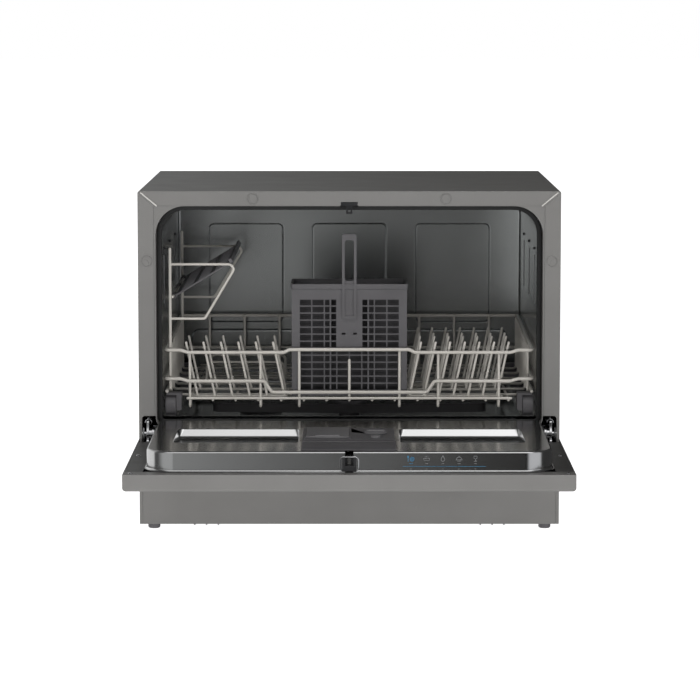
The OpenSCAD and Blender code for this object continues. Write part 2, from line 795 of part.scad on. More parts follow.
// Fixed post and cap that carry the spray arm
module spray_hub() color(plastic) from_front() translate([0, arm_y, 0]) {
    base = floor_z - 3 + seat;
    rotate_extrude() polygon([[post_r - 2.5, base], [post_r + 6, base], [post_r + 6, arm_z - 1.5],
                              [post_r, arm_z - 1.5], [post_r, arm_z + arm_t + 5], [post_r - 2.5, arm_z + arm_t + 5]]);
    rotate_extrude() polygon([[0, arm_z + arm_t + 5], [post_r + 4, arm_z + arm_t + 5],
                              [post_r + 3, arm_z + arm_t + 8], [0, arm_z + arm_t + 9]]);
}

// Perforated plate over the sump
module flat_filter() color(stainless) from_front() {
    difference() {
        union() {
            translate([0, arm_y, filter_z]) cylinder(h = filter_t, r = sump_r + 4);
            translate([0, well_y, filter_z]) cylinder(h = filter_t, r = well_r + 4);
        }
        translate([0, arm_y, filter_z - cut]) cylinder(h = 2 * cut + filter_t, r = post_r + 6 + loose);
        translate([0, well_y, filter_z - cut]) cylinder(h = 2 * cut + filter_t, r = filter_r + 0.5);
        for (a = [-100 : 20 : 280], r = [28, 44]) if (a < -125 || a > -55)
            translate([0, arm_y, filter_z - cut]) rotate([0, 0, a])
                translate([r, -1.2, 0]) cube([12, 2.4, 2 * cut + filter_t]);
    }
}

// Removable filter cup with a handle across its top
module filter_cup() color(plastic) from_front() translate([0, well_y, 0]) {
    top = filter_z + filter_t + seat;
    low = well_low + 6;
    wall = 1.8;
    difference() {
        union() {
            translate([0, 0, low]) cylinder(h = top - low + 1, r = filter_r);
            translate([0, 0, top]) cylinder(h = 2.2, r = filter_r + 3);
        }
        translate([0, 0, low + wall]) cylinder(h = top, r = filter_r - wall);
        // Tall windows round the cup
        for (a = [0 : 45 : 135]) rotate([0, 0, a])
            block([-filter_r - cut, -5, low + 10], [filter_r + cut, 5, top - 12]);
    }
    block([-filter_r + wall / 2, -2, top - 4], [filter_r - wall / 2, 2, top + 8]);
    translate([0, 0, top - 4]) cylinder(h = 12, r = 5);
}

// Two-bladed spray arm with a row of jets along each blade
module spray_arm() color(plastic) from_front() translate([0, arm_y, arm_z]) {
    root = 24;
    tip = 13;
    difference() {
        union() {
            cylinder(h = arm_t + 4, r = root);
            for (a = [0, 180]) rotate([0, 0, a]) {
                linear_extrude(arm_t) {
                    polygon([[0, -root], [arm_r - tip, -tip], [arm_r - tip, tip], [0, root]]);
                    translate([arm_r - tip, 0]) circle(tip);
                }
                for (i = [0 : 4]) translate([45 + i * 30, i % 2 == 0 ? 5 : -5, arm_t - 1])
                    cylinder(h = 2.6, r1 = 4, r2 = 2.6);
            }
        }
        translate([0, 0, -cut]) cylinder(h = 4 * cut + arm_t + 4, r = post_r + running);
    }
}

// Water softener, whose filler neck comes up through the floor
module softener() color(plastic) from_front() {
    under = floor_z - steel;
    wall = 3;
    x0 = salt_x - 65;
    x1 = salt_x + 59;
    y0 = salt_y - 50;
    y1 = salt_y + 65;
    difference() {
        union() {
            block([x0, y0, 34], [x1, y1, under - 10]);
            translate([salt_x, salt_y, under - 11]) cylinder(h = 12, r = salt_r + 3.5);
            translate([salt_x, salt_y, floor_z + seat]) cylinder(h = 2, r = salt_r + 8);
        }
        block([x0 + wall, y0 + wall, 34 + wall], [x1 - wall, y1 - wall, under - 10 - wall]);
        translate([salt_x, salt_y, 60]) cylinder(h = 80, r = salt_r);
    }
    for (x = [x0 + 10, x1 - 14], y = [y0 + 7, y1 - 8]) rod([x, y, tray_z], [x, y, 34.5], 5);
}

// Screw cap on the softener
module salt_cap() color(plastic) from_front() translate([salt_x, salt_y, 0]) {
    base = floor_z + 2 + 2 * seat;
    difference() {
        union() {
            translate([0, 0, base]) cylinder(h = 5, r = salt_r + 5);
            translate([0, 0, base - 14]) cylinder(h = 15, r = salt_r - running);
        }
        translate([0, 0, base - 15]) cylinder(h = 13, r = salt_r - 3);
    }
    block([4 - salt_r, -3, base + 4], [salt_r - 4, 3, base + 9]);
}

// Circulation pump: a motor and a volute on one axis along x
module circulation_pump() color(plastic) from_front() translate([0, well_y, pump_z]) {
    x0 = pump_x - volute_w / 2;
    x1 = pump_x + volute_w / 2;
    motor_l = 90;
    difference() {
        union() {
            rod([x0, 0, 0], [x1, 0, 0], volute_r);
            rod([x0 - motor_l, 0, 0], [x0 + cut, 0, 0], motor_r);
            rod([x0 - motor_l - 8, 0, 0], [x0 - motor_l + cut, 0, 0], 14);
            // Outlet towards the heater
            rod([pump_x, volute_r - 10, 0], [pump_x, volute_r + 12, 0], 10);
        }
        rod([x0 + 3, 0, 0], [x1 - 3, 0, 0], volute_r - 3);
        rod([x1 - 4, 0, 0], [x1 + cut, 0, 0], 8);
        rod([pump_x, volute_r - 12, 0], [pump_x, volute_r + 13, 0], 7.5);
        rod([x0 - 40, 0, 0], [x0 + 4, 0, 0], axle_r + running);
    }
    // Rubber feet on the tray
    for (x = [x0 - motor_l + 14, x0 - 14], y = [-16, 16])
        rod([x, y, tray_z - pump_z], [x, y, 2 - sqrt(motor_r * motor_r - 256)], 5);
}

// Impeller on its shaft inside the volute
module pump_impeller() color(coated) from_front() translate([0, well_y, pump_z]) {
    x0 = pump_x - volute_w / 2 + 3.6;
    rod([x0, 0, 0], [x0 + 3, 0, 0], impeller_r);
    rod([x0, 0, 0], [x0 + volute_w - 10, 0, 0], 8);
    rod([x0 - 34, 0, 0], [x0 + cut, 0, 0], axle_r);
    for (a = [0 : 60 : 300]) rotate([a, 0, 0]) block([x0 + 2, 5, -1], [x0 + 13, impeller_r - 2, 1]);
}

// Flow heater between the pump and the sump
module heater() color(stainless) from_front() {
    y0 = well_y + volute_r + 12 + seat;
    y1 = arm_y + 30;
    difference() {
        union() {
            rod([pump_x, y0, pump_z], [pump_x, y1, pump_z], 17);
            rod([pump_x, arm_y, pump_z + 12], [-sump_r - seat, arm_y, pump_z + 12], 7);
        }
        rod([pump_x, y0 - cut, pump_z], [pump_x, y0 + 30, pump_z], 7.5);
    }
    for (x = [-6, 6]) rod([pump_x + x, y1 - cut, pump_z], [pump_x + x, y1 + 9, pump_z], 2);
    rod([pump_x, y0 + 20, tray_z], [pump_x, y0 + 20, pump_z - 15], 4);
}

// Drain pump on the other side of the filter well
module drain_pump() color(plastic) from_front() translate([0, well_y, 0]) {
    difference() {
        union() {
            rod([drain_x, 0, pump_z], [drain_x + 18, 0, pump_z], 26);
            rod([drain_x + 17, 0, pump_z], [drain_x + 62, 0, pump_z], 20);
            rod([drain_line_x, 20, drain_z], [drain_line_x, 36, drain_z], drain_hose_r - 2);
        }
        rod([drain_x + 2.5, 0, pump_z], [drain_x + 15.5, 0, pump_z], 23);
        rod([drain_x - cut, 0, pump_z], [drain_x + 4, 0, pump_z], 6);
        rod([drain_line_x, 18, drain_z], [drain_line_x, 37, drain_z], drain_hose_r - 4);
    }
    rod([drain_x + 40, 0, tray_z], [drain_x + 40, 0, pump_z - 19], 6);
}

// Drain hose under the floor, and the hose from the valve to the air break
module hoses() color([0.3, 0.3, 0.31]) from_front() {
    x = drain_line_x;
    y0 = well_y + 36 + seat;
    y1 = rear_y - 12 - seat;
    difference() {
        union() {
            rod([x, y0, drain_z], [x, y1, drain_z], drain_hose_r);
            for (i = [1 : 12]) rod([x, y0 + i * 18, drain_z], [x, y0 + i * 18 + 4, drain_z], drain_hose_r + 1);
        }
        rod([x, y0 - cut, drain_z], [x, y1 + cut, drain_z], drain_hose_r - 2);
    }
    chamber_x = -(tub_hw + steel + 12);
    wire([[inlet_x, inlet_y, 80], [inlet_x, inlet_y, 95], [chamber_x, inlet_y, 95],
          [chamber_x, inlet_y, chamber_low - 8 - seat]], 6, 13);
}

// Spigot at the back for the drain hose
module drain_outlet() color(plastic) from_front() {
    x = drain_line_x;
    difference() {
        union() {
            rod([x, rear_y - 12, drain_z], [x, rear_y, drain_z], drain_r + 3);
            rod([x, rear_y - cut, drain_z], [x, body_d + rear_out, drain_z], drain_r);
        }
        rod([x, rear_y - 13, drain_z], [x, body_d + rear_out + cut, drain_z], drain_r - 2.5);
    }
}

// Inlet valve with its threaded connection at the back
module inlet_valve() color(plastic) from_front() {
    difference() {
        union() {
            block([inlet_x - 22, inlet_y - 15, tray_z + 20], [inlet_x + 22, rear_y - seat, 80 - seat]);
            rod([inlet_x, rear_y - cut, drain_z], [inlet_x, body_d + rear_out, drain_z], inlet_r);
            block([inlet_x - 14, inlet_y - 10, tray_z], [inlet_x + 14, inlet_y + 15, tray_z + 21]);
        }
        rod([inlet_x, inlet_y, drain_z], [inlet_x, body_d + rear_out + cut, drain_z], inlet_r - 3);
    }
}

// Air break between the tub and the left side of the casing
module water_chamber() color(coated) from_front() {
    x1 = -(tub_hw + steel + loose);
    x0 = -(half_w - sheet - loose);
    y0 = 170;
    y1 = inlet_y + 16;
    wall = 2;
    top = chamber_low + chamber_h;
    difference() {
        along_x(x0, x1) rounded(y0, chamber_low, y1, top, 14);
        along_x(x0 + wall, x1 - wall) rounded(y0 + wall, chamber_low + wall, y1 - wall, top - wall, 12);
    }
    for (i = [0 : 5], y = y0 + 40 + i * (y1 - y0 - 86) / 5)
        block([x0 + 1, y, chamber_low + 40], [x1 - 1, y + 1.6, top - 30]);
    rod([(x0 + x1) / 2, inlet_y, chamber_low - 8], [(x0 + x1) / 2, inlet_y, chamber_low + 1], 8);
}

// Gland in the back panel where a mains lead would enter
module power_gland() color([0.1, 0.1, 0.1]) from_front() {
    difference() {
        union() {
            rod([gland_x, rear_y - 8, drain_z], [gland_x, rear_y + sheet + 4, drain_z], 9);
            rod([gland_x, rear_y + sheet + seat, drain_z], [gland_x, rear_y + sheet + 5, drain_z], 13);
            rod([gland_x, rear_y - 8, drain_z], [gland_x, rear_y - seat, drain_z], 12);
        }
        rod([gland_x, rear_y - 9, drain_z], [gland_x, rear_y + 20, drain_z], 4);
    }
}

// Float that lifts when water gets into the tray
module leak_float() color([0.85, 0.85, 0.83]) from_front() {
    translate([190, 250, 0]) difference() {
        union() {
            translate([0, 0, tray_z + seat]) cylinder(h = 14, r = 24);
            translate([0, 0, tray_z + 12]) cylinder(h = 20, r = 6);
        }
        translate([0, 0, tray_z]) cylinder(h = 12, r = 21);
    }
}

// Door

// Outer door: a pressed tray whose flanges point up when it lies open
module door_shape(inset, y1, top) {
    r = door_r - inset;
    low = door_out_z + inset;
    x = half_w - inset;
    y0 = -reach + inset;
    intersection() {
        along_x(-x, x) {
            translate([y0, low + r]) square([y1 - y0, top - low - r]);
            translate([y0 + r, low]) square([y1 - y0 - r, r + 1]);
            translate([y0 + r, low + r]) circle(r);
        }
        along_y(y0, y1) {
            translate([-x, low + r]) square([2 * x, top - low - r]);
            translate([-x + r, low]) square([2 * (x - r), r + 1]);
            for (s = [-1, 1]) translate([s * (x - r), low + r]) circle(r);
        }
    }
}

module door_panel() color(paint) from_front() {
    difference() {
        door_shape(0, -door_edge, door_in_z);
        door_shape(sheet, -door_edge + cut, door_in_z + cut);
        block([fascia_x[0], fascia_y[0], door_out_z - cut], [fascia_x[1], fascia_y[1], door_out_z + sheet + 1]);
    }
    // Lip along the free edge, under the liner's rim
    block([-half_w + sheet / 2, -reach + sheet / 2, door_in_z - sheet],
          [half_w - sheet / 2, pan_front + 6, door_in_z - seat]);
    // Flange along the hinge edge
    block([-slot_in + 2, -door_edge - sheet, door_out_z + sheet / 2],
          [slot_in - 2, -door_edge, door_in_z - seat]);
}

// Stainless inner door, pressed from one sheet
module door_liner() color(stainless) from_front() {
    top = pan_z;
    difference() {
        union() {
            translate([0, 0, door_in_z]) linear_extrude(pan_h) pan_outline(0);
            translate([0, 0, door_in_z]) linear_extrude(steel) pan_outline(pan_rim);
        }
        difference() {
            translate([0, 0, door_in_z - cut]) linear_extrude(pan_h + cut - steel) pan_outline(-steel);
            both_sides() block([recess_x - steel, recess_y - recess_l - steel, top - recess_h - steel],
                               [recess_x + recess_w + steel, recess_y + steel, top]);
        }
        both_sides() block([recess_x, recess_y - recess_l, top - recess_h],
                           [recess_x + recess_w, recess_y, top + cut]);
        block([disp_x[0] + 2, disp_y[0] + 2, top - 2 * steel], [disp_x[1] - 2, disp_y[1] - 2, top + cut]);
        block([-latch_hw - loose, pan_front - 2 * pan_rim, latch_low - loose],
              [latch_hw + loose, pan_front + 3, latch_high + loose]);
        block([-slot_hw, pan_front - cut, door_in_z], [slot_hw, slot_back, top + cut]);
    }
}

// Dark strip on the outer face with the pocket grip and the holes for the buttons
module control_panel() color([0.1, 0.1, 0.1]) from_front() {
    out = door_out_z;
    t = 2;
    difference() {
        union() {
            block([fascia_x[0] + seat, fascia_y[0] + seat, out],
                  [fascia_x[1] - seat, fascia_y[1] - seat, out + t]);
            block([fascia_x[0] - 4, fascia_y[0] - 4, out + sheet + seat],
                  [fascia_x[1] + 4, fascia_y[1] + 4, out + sheet + seat + 1.5]);
            block([grip_x[0] - 2, grip_y[0] - 2, out], [grip_x[1] + 2, grip_y[1] + 2, out + grip_h]);
            for (x = button_x) rod([x, button_y, out], [x, button_y, out + 8], button_r + 2);
        }
        block([grip_x[0], grip_y[0], out - cut], [grip_x[1], grip_y[1] - 8, out + grip_h - 2]);
        block([grip_x[0], grip_y[1] - 12, out + 3], [grip_x[1], grip_y[1], out + grip_h - 2]);
        for (x = button_x) rod([x, button_y, out - cut], [x, button_y, out + 9], button_r + running);
    }
}

// Circuit board over the buttons
module control_board() color([0.1, 0.3, 0.15]) from_front() {
    z = door_out_z + 8 + seat;
    block([95, fascia_y[0] + 6, z], [225, fascia_y[1] + 4, z + 1.6]);
    block([104, fascia_y[1] - 18, z + 1.5], [136, fascia_y[1] - 2, z + 6]);
}

module push_button(x) {
    z = door_out_z;
    rod([x, button_y, z - 0.5], [x, button_y, z + 8 - button_travel], button_r);
}

module power_button() color([0.6, 0.6, 0.6]) from_front() push_button(button_x[2]);
module program_button() color([0.6, 0.6, 0.6]) from_front() push_button(button_x[0]);
module start_button() color([0.6, 0.6, 0.6]) from_front() push_button(button_x[1]);

// Black latch housing behind the liner's front wall
module latch_housing() color([0.08, 0.08, 0.08]) from_front() {
    back = claw_y + 9;
    difference() {
        block([-latch_hw, latch_front, latch_low], [latch_hw, back, latch_high]);
        block([-slot_hw, latch_front - cut, tongue_z0 - 1.5], [slot_hw, slot_back, latch_high + cut]);
        block([-2.6, slot_back - cut, latch_low + 3], [2.6, back - 2, latch_high + cut]);
        rod([-latch_hw - cut, claw_y, claw_z], [latch_hw + cut, claw_y, claw_z], 1.5);
    }
    block([-latch_hw, back - 1, latch_low], [latch_hw, back + 8, latch_low + 3]);
}

// Claw that swings into the tongue's window
module latch_claw() color(stainless) from_front() {
    along_x(-2.2, 2.2) {
        translate([claw_y, claw_z]) circle(3.6);
        polygon([[claw_y - 3, claw_z + 1], [claw_y - 6, claw_z - 6], [claw_y - 3.2, claw_z - 8],
                 [claw_y + 3, claw_z - 2]]);
    }
    rod([-latch_hw + 0.5, claw_y, claw_z], [latch_hw - 0.5, claw_y, claw_z], 1.45);
}

// Dispenser body, with the detergent cup and the rinse aid neck
module dispenser_body() color(plastic) from_front() {
    top = pan_z + seat;
    difference() {
        union() {
            block([disp_x[0], disp_y[0], top], [disp_x[1], disp_y[1], top + disp_t]);
            block([disp_x[0] + 3, disp_y[0] + 3, top - cup_in_h - 4], [disp_x[1] - 3, disp_y[1] - 3, top + 1]);
        }
        block([cup_in_x[0], cup_in_y[0], top + disp_t - cup_in_h], [cup_in_x[1], cup_in_y[1], top + disp_t + cut]);
        rod([cap_x, cap_y, top - 20], [cap_x, cap_y, top + disp_t + cut], cap_r - 4);
        rod([cap_x, catch_y, top - 8], [cap_x, catch_y, top + disp_t + cut], catch_r + running);
    }
    // Rails that the lid slides between
    for (x = [lid_x[0] - 2, lid_x[1] + loose])
        block([x, disp_y[0] + 1, top + disp_t - 0.5], [x + 1.7, disp_y[1] - 1, top + disp_t + 2]);
}

module detergent_lid() color([0.3, 0.3, 0.31]) from_front() {
    z = pan_z + disp_t + 2 * seat;
    block([lid_x[0], cup_in_y[0] - 3, z], [lid_x[1], cup_in_y[1] + 4, z + 2]);
    block([lid_x[0] + 12, cup_in_y[0], z + 1], [lid_x[1] - 12, cup_in_y[0] + 4, z + 3.4]);
}

// Button that lets the lid go
module lid_catch() color([0.3, 0.3, 0.31]) from_front() {
    z = pan_z + disp_t + seat;
    rod([cap_x, catch_y, z - 5.5], [cap_x, catch_y, z + 2.6], catch_r);
}

module rinse_cap() color([0.3, 0.3, 0.31]) from_front() {
    z = pan_z + disp_t + 2 * seat;
    difference() {
        union() {
            rod([cap_x, cap_y, z], [cap_x, cap_y, z + 2.6], cap_r);
            rod([cap_x, cap_y, z - 16], [cap_x, cap_y, z + 1], cap_r - 4 - running);
        }
        rod([cap_x, cap_y, z - 17], [cap_x, cap_y, z - 2], cap_r - 7);
    }
    block([cap_x - cap_r + 3, cap_y - 1.6, z + 2], [cap_x + cap_r - 3, cap_y + 1.6, z + 4.4]);
}

// Rack

// Front of the rack: rails that drop in the middle, round the corners, with uprights and legs
module rack_front() color(coated) in_rack() {
    step = rail_z + 3;
    low_end = mid_z + 3;
    a = rail_step[0];
    b = rail_step[1];
    wire([[-side_x, corner_l, step], [-side_x, 0, step], [-b, 0, step], [-a, 0, rail_z],
          [-basket_hw - 10, 0, rail_z], [-basket_hw - 3, 0, rail_z + 3.7], [basket_hw + 3, 0, rail_z + 3.7],
          [basket_hw + 10, 0, rail_z], [a, 0, rail_z], [b, 0, step], [side_x, 0, step],
          [side_x, corner_l, step]], rail_r);
    wire([[-side_x, corner_l, low_end], [-side_x, 0, low_end], [-b, 0, low_end], [-a, 0, mid_z],
          [-112, 0, mid_z], [-102, 0, cross_z + 8], [102, 0, cross_z + 8], [112, 0, mid_z],
          [a, 0, mid_z], [b, 0, low_end], [side_x, 0, low_end], [side_x, corner_l, low_end]], rail_r);
    rod([-bar_hw, floor_bar_y, cross_z], [bar_hw, floor_bar_y, cross_z], wire_r);
    // Uprights that bend back into legs under the floor
    for (x = upright_x)
        wire([[x, upright_y, abs(x) < basket_hw ? rail_z + 4 : rail_z], [x, upright_y, leg_z],
              [x, upright_y + 14, leg_z], [x, upright_y + 14, wire_z - 2 * wire_r - seat + 1]], wire_r);
    rod([0, upright_y, cross_z - 1], [0, upright_y, cross_z + 50], wire_r);
}

// Back of the rack
module rack_rear() color(coated) in_rack() {
    top = rail_z + 3 + rail_rise;
    low_end = mid_z + 3;
    for (z = [low_end, top])
        wire([[-side_x, rack_d - corner_l, z], [-side_x, rack_d, z], [side_x, rack_d, z],
              [side_x, rack_d - corner_l, z]], rail_r);
    rod([-bar_hw, rack_d - floor_bar_y, cross_z], [bar_hw, rack_d - floor_bar_y, cross_z], wire_r);
    for (i = [-4 : 4], x = i * rear_hw / 4) rod([x, rack_d - upright_y, cross_z - 1], [x, rack_d - upright_y, top], wire_r);
}

// Both sides of the rack
module rack_sides() color(coated) in_rack() both_sides() {
    y0 = corner_l + 2 * seat;
    y1 = rack_d - corner_l - 2 * seat;
    top = rail_z + 3;
    inner = side_x - rail_r - wire_r + 0.4;
    rod([side_x, y0, top], [side_x, y1, top + rail_rise], rail_r);
    rod([side_x, y0, mid_z + 3], [side_x, y1, mid_z + 3], rail_r);
    rod([side_x, y0 - 8, skirt_z], [side_x, y1 + 8, skirt_z], rail_r);
    for (y = side_y)
        rod([inner, y, skirt_z - rail_r], [inner, y, top + rail_rise * (y - y0) / (y1 - y0)], wire_r);
}

// Floor grid, whose cross wires turn up into the sides
module rack_floor() color(coated) in_rack() {
    inner = side_x - rail_r - wire_r + 0.4;
    for (i = [-7 : 7], x = i * floor_hw / 7)
        rod([x, upright_y + wire_r + seat, wire_z], [x, rack_d - upright_y - wire_r - seat, wire_z], wire_r);
    for (y = cross_y)
        wire([[-inner, y, skirt_z - rail_r - seat], [-inner, y, cross_z], [inner, y, cross_z],
              [inner, y, skirt_z - rail_r - seat]], wire_r);
}

// A row of plate tines that lean to one side
module tine_row(x, y, pitch, n, side) {
    base = wire_z + 2 * wire_r + seat;
    tip = wire_z + tine_h;
    lean = (tip - base) * tan(tine_lean);
    rod([x - side * 2, y, base], [x + side * (pitch * (n - 1) + 6), y, base], wire_r);
    for (i = [0 : n - 1]) {
        foot = x + side * pitch * i;
        rod([foot, y, base], [foot + side * lean, y, tip], tine_r);
        translate([foot + side * lean, y, tip]) sphere(r = tine_r * 1.06);
    }
}

// Left tines, with the folded wires behind them
module left_tines() color(coated) in_rack() {
    for (y = left_rows) tine_row(-left_x, y, left_pitch, 6, -1);
    base = wire_z + 2 * wire_r + seat;
    for (y = arch_rows) {
        wire([[-left_x - 4, y, base], [-left_x - 4, y + 34, base + 26], [-left_x - 110, y + 34, base + 26],
              [-left_x - 110, y, base]], tine_r, 9);
        rod([-left_x + 2, y, base], [-left_x - 118, y, base], wire_r);
    }
}

module right_tines() color(coated) in_rack() {
    for (y = right_rows) tine_row(right_x, y, right_pitch, 7, 1);
}

// One roller bracket: a plate with an ear over the roller and an axle with a snap cap
module roller_bracket(y) {
    inner = roller_x - roller_w / 2 - 7.5;
    plate = roller_x - roller_w / 2 - loose;
    tip = roller_x + roller_w / 2 + loose;
    difference() {
        block([inner, y - 9, roller_z - 7], [plate, y + 9, skirt_z - rail_r - seat]);
        block([inner - cut, y - 5, roller_z + 6], [plate - 2, y + 5, skirt_z - rail_r - 4]);
    }
    block([inner, y - 9, roller_z + roller_r + 0.6], [side_x + 1, y + 9, skirt_z - rail_r - seat]);
    rod([plate - 1, y, roller_z], [tip + 1.2, y, roller_z], axle_r);
    rod([tip, y, roller_z], [tip + 1.2, y, roller_z], axle_r + 1.6);
}

module roller_brackets() color(plastic) in_rack() both_sides() {
    roller_bracket(roller_front_y);
    roller_bracket(roller_rear_y);
}

// A roller: tread, web and hub
module roller(side, y) {
    color(plastic) in_rack() translate([side * roller_x, y, roller_z]) rotate([0, 90, 0]) {
        h = roller_w / 2;
        hub = axle_r + 2.6;
        difference() {
            rotate_extrude() polygon([[axle_r + running, -h], [hub, -h], [hub, -1.5], [roller_r - 2.6, -1.5],
                                      [roller_r - 2.6, -h], [roller_r - 0.6, -h], [roller_r, 0.6 - h],
                                      [roller_r, h - 0.6], [roller_r - 0.6, h], [roller_r - 2.6, h],
                                      [roller_r - 2.6, 1.5], [hub, 1.5], [hub, h], [axle_r + running, h]]);
            for (a = [0 : 72 : 288]) rotate([0, 0, a])
                translate([(hub + roller_r - 2.6) / 2, 0, -h]) cylinder(h = roller_w, r = 1.3);
        }
    }
}

module roller_front_left() roller(-1, roller_front_y);
module roller_front_right() roller(1, roller_front_y);
module roller_rear_left() roller(-1, roller_rear_y);
module roller_rear_right() roller(1, roller_rear_y);

// Two wire loops on posts inside the left side of the rack, and the wire that joins them
module cup_frame() color(coated) in_rack() {
    foot = corner_x - (cup_loop_h - 6) * tan(27);
    for (y = cup_y) {
        wire([[post_x + 0.7, y, cup_z], [corner_x, y, cup_z], [corner_x + 5.5, y, cup_z - 6],
              [foot, y, cup_z - cup_loop_h], [post_x + 0.7, y, cup_z - cup_loop_h]], wire_r);
        translate([post_x, y, skirt_z + 1]) rotate_extrude() polygon([[0, 0], [stem_r, 0],
            [stem_r, cup_z + 20 - skirt_z], [stem_r - 0.8, cup_z + 21 - skirt_z], [0, cup_z + 21 - skirt_z]]);
    }
    rod([pivot_x, cup_y[0] - 1.1, pivot_z], [pivot_x, cup_y[1] + 1.1, pivot_z], wire_r);
}

// Fold-up cup shelf: it turns on the upper wire and rests on the loops' corners
module cup_shelf() color(plastic) in_rack() translate([pivot_x, 0, pivot_z]) rotate([0, -cup_tilt, 0]) {
    y0 = cup_y[0] + wire_r + loose;
    y1 = cup_y[1] - wire_r - loose;
    rim = 3.5;
    rib_n = 11;
    pitch = (y1 - y0 - 12) / rib_n;
    difference() {
        union() {
            block([5, y0, -cup_t / 2], [cup_w, y1, cup_t / 2]);
            block([cup_w - 3, y0, -cup_t / 2], [cup_w, y1, cup_t / 2 + rim]);
            for (y = clip_y) {
                rod([0, y - 12, 0], [0, y + 12, 0], 4.2);
                block([0, y - 12, -cup_t / 2], [8, y + 12, cup_t / 2]);
            }
            // Lugs over the corners of both loops
            block([lug_from, cup_y[0] - wire_r - 1, -cup_t / 2], [cup_w, y0 + 1, cup_t / 2 + rim]);
            block([lug_from, y1 - 1, -cup_t / 2], [cup_w, cup_y[1] + wire_r + 1, cup_t / 2 + rim]);
        }
        for (y = clip_y) rod([0, y - 13, 0], [0, y + 13, 0], wire_r + running);
        // Drain slots in three columns
        for (i = [0 : rib_n - 1], x = [12, 38, 64])
            block([x, y0 + 8 + i * pitch, -cup_t], [x + 20, y0 + 4 + (i + 1) * pitch, cup_t]);
    }
}

// A wall of the cutlery basket: a sheet of small holes inside a solid border. The short columns
// stop under the plate that carries the handle.
module grid(w, h, cols, short_cols, gap) {
    pitch = grid_h + grid_bar;
    foot = 8;
    difference() {
        square([w, h]);
        for (c = cols, r = [0 : floor((h - 20) / pitch) - 1]) translate([c, foot + r * pitch]) square([gap, grid_h]);
        for (c = short_cols, r = [0 : floor((plate_low - foot) / pitch) - 1])
            translate([c, foot + r * pitch]) square([gap, grid_h]);
    }
}

module cutlery_basket() color(plastic) in_rack() translate([0, basket_y, basket_z]) {
    w = basket_hw;
    d = basket_d;
    t = basket_t;
    wall_h = basket_h - 5;
    col_n = 8;
    pitch = grid_w + grid_bar;
    cols = [for (i = [0 : col_n - 1]) w - (col_n * pitch - grid_bar) / 2 + i * pitch];
    middle = [for (i = [0 : col_n - 1]) if (abs(i - (col_n - 1) / 2) < 1) cols[i]];
    outer = [for (i = [0 : col_n - 1]) if (abs(i - (col_n - 1) / 2) > 1) cols[i]];
    side_n = 4;
    side_gap = (d - 14) / side_n - grid_bar;
    side = [for (i = [0 : side_n - 1]) 7 + i * (side_gap + grid_bar * side_n / (side_n - 1))];
    difference() {
        translate([-w, 0, 0]) along_y(0, t) grid(2 * w, wall_h, outer, middle, grid_w);
        // Two small slots in the plate under the handle
        for (x = [-7.5, 7.5]) block([x - 2.5, -cut, plate_low + 10], [x + 2.5, t + cut, plate_low + 12.5]);
    }
    translate([-w, 0, 0]) along_y(d - t, d) grid(2 * w, wall_h, cols, [], grid_w);
    for (x = [-w, w - t]) along_x(x, x + t) grid(d, wall_h, side, [], side_gap);
    // Solid rim round the top
    difference() {
        block([-w, 0, basket_h - 9], [w, d, basket_h]);
        block([t - w, t, basket_h - 10], [w - t, d - t, basket_h + cut]);
    }
    // Slotted floor
    difference() {
        block([-w, 0, 0], [w, d, t]);
        for (x = [-w + 8 : 8 : w - 10], y = [8, d / 2 + 4])
            block([x, y, -cut], [x + 4, y + d / 2 - 12, t + cut]);
    }
    // Dividers between the six compartments
    for (x = [-25, 25]) block([x - t / 2, t / 2, t / 2], [x + t / 2, d - t / 2, basket_h - 20]);
    block([t / 2 - w, d / 2 - t / 2, t / 2], [w - t / 2, d / 2 + t / 2, basket_h - 20]);
    // Handle on the front wall: two ribs with a finger hole between them, joined by a groove below the rim
    rib = 3.4;
    difference() {
        along_y(handle_front, 4.5) rounded(-handle_w / 2, handle_low, handle_w / 2, handle_top, 3);
        along_y(handle_front - cut, 5.5) rounded(rib - handle_w / 2, basket_h + 4, handle_w / 2 - rib, handle_top - 8, 3);
        block([rib - handle_w / 2, handle_front - cut, handle_low + 4], [handle_w / 2 - rib, 0, basket_h + 8]);
        block([-handle_w, t, 0], [handle_w, d, basket_h - 9]);
    }
}

casing();
front_frame();
back_panel();
base_tray();
plinth();
levelling_feet();
casing_screws();
tub();
tub_gasket();
latch_striker();
hinge_bracket_left();
hinge_bracket_right();
hinge_pins();
balance_springs();
sump();
spray_hub();
flat_filter();
filter_cup();
spray_arm();
softener();
salt_cap();
circulation_pump();
pump_impeller();
heater();
drain_pump();
drain_outlet();
inlet_valve();
hoses();
water_chamber();
power_gland();
leak_float();
door_panel();
door_liner();
door_arm_left();
door_arm_right();
control_panel();
control_board();
power_button();
program_button();
start_button();
latch_housing();
latch_claw();
dispenser_body();
detergent_lid();
lid_catch();
rinse_cap();
rack_front();
rack_rear();
rack_sides();
rack_floor();
left_tines();
right_tines();
roller_brackets();
roller_front_left();
roller_front_right();
roller_rear_left();
roller_rear_right();
cup_frame();
cup_shelf();
cutlery_basket();
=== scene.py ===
"""Countertop dishwasher with its door down: finishes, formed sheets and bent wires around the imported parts.

Metres throughout. x runs to the right, y to the back and z up. Depths are counted backwards from the
cabinet's front, whose place in the frame is FRONT, so the open door's depths are negative.
"""

import json
from math import cos, pi, radians, sin, tan

import bmesh
import bpy
import numpy as np
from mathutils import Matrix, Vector
from mathutils.geometry import tessellate_polygon

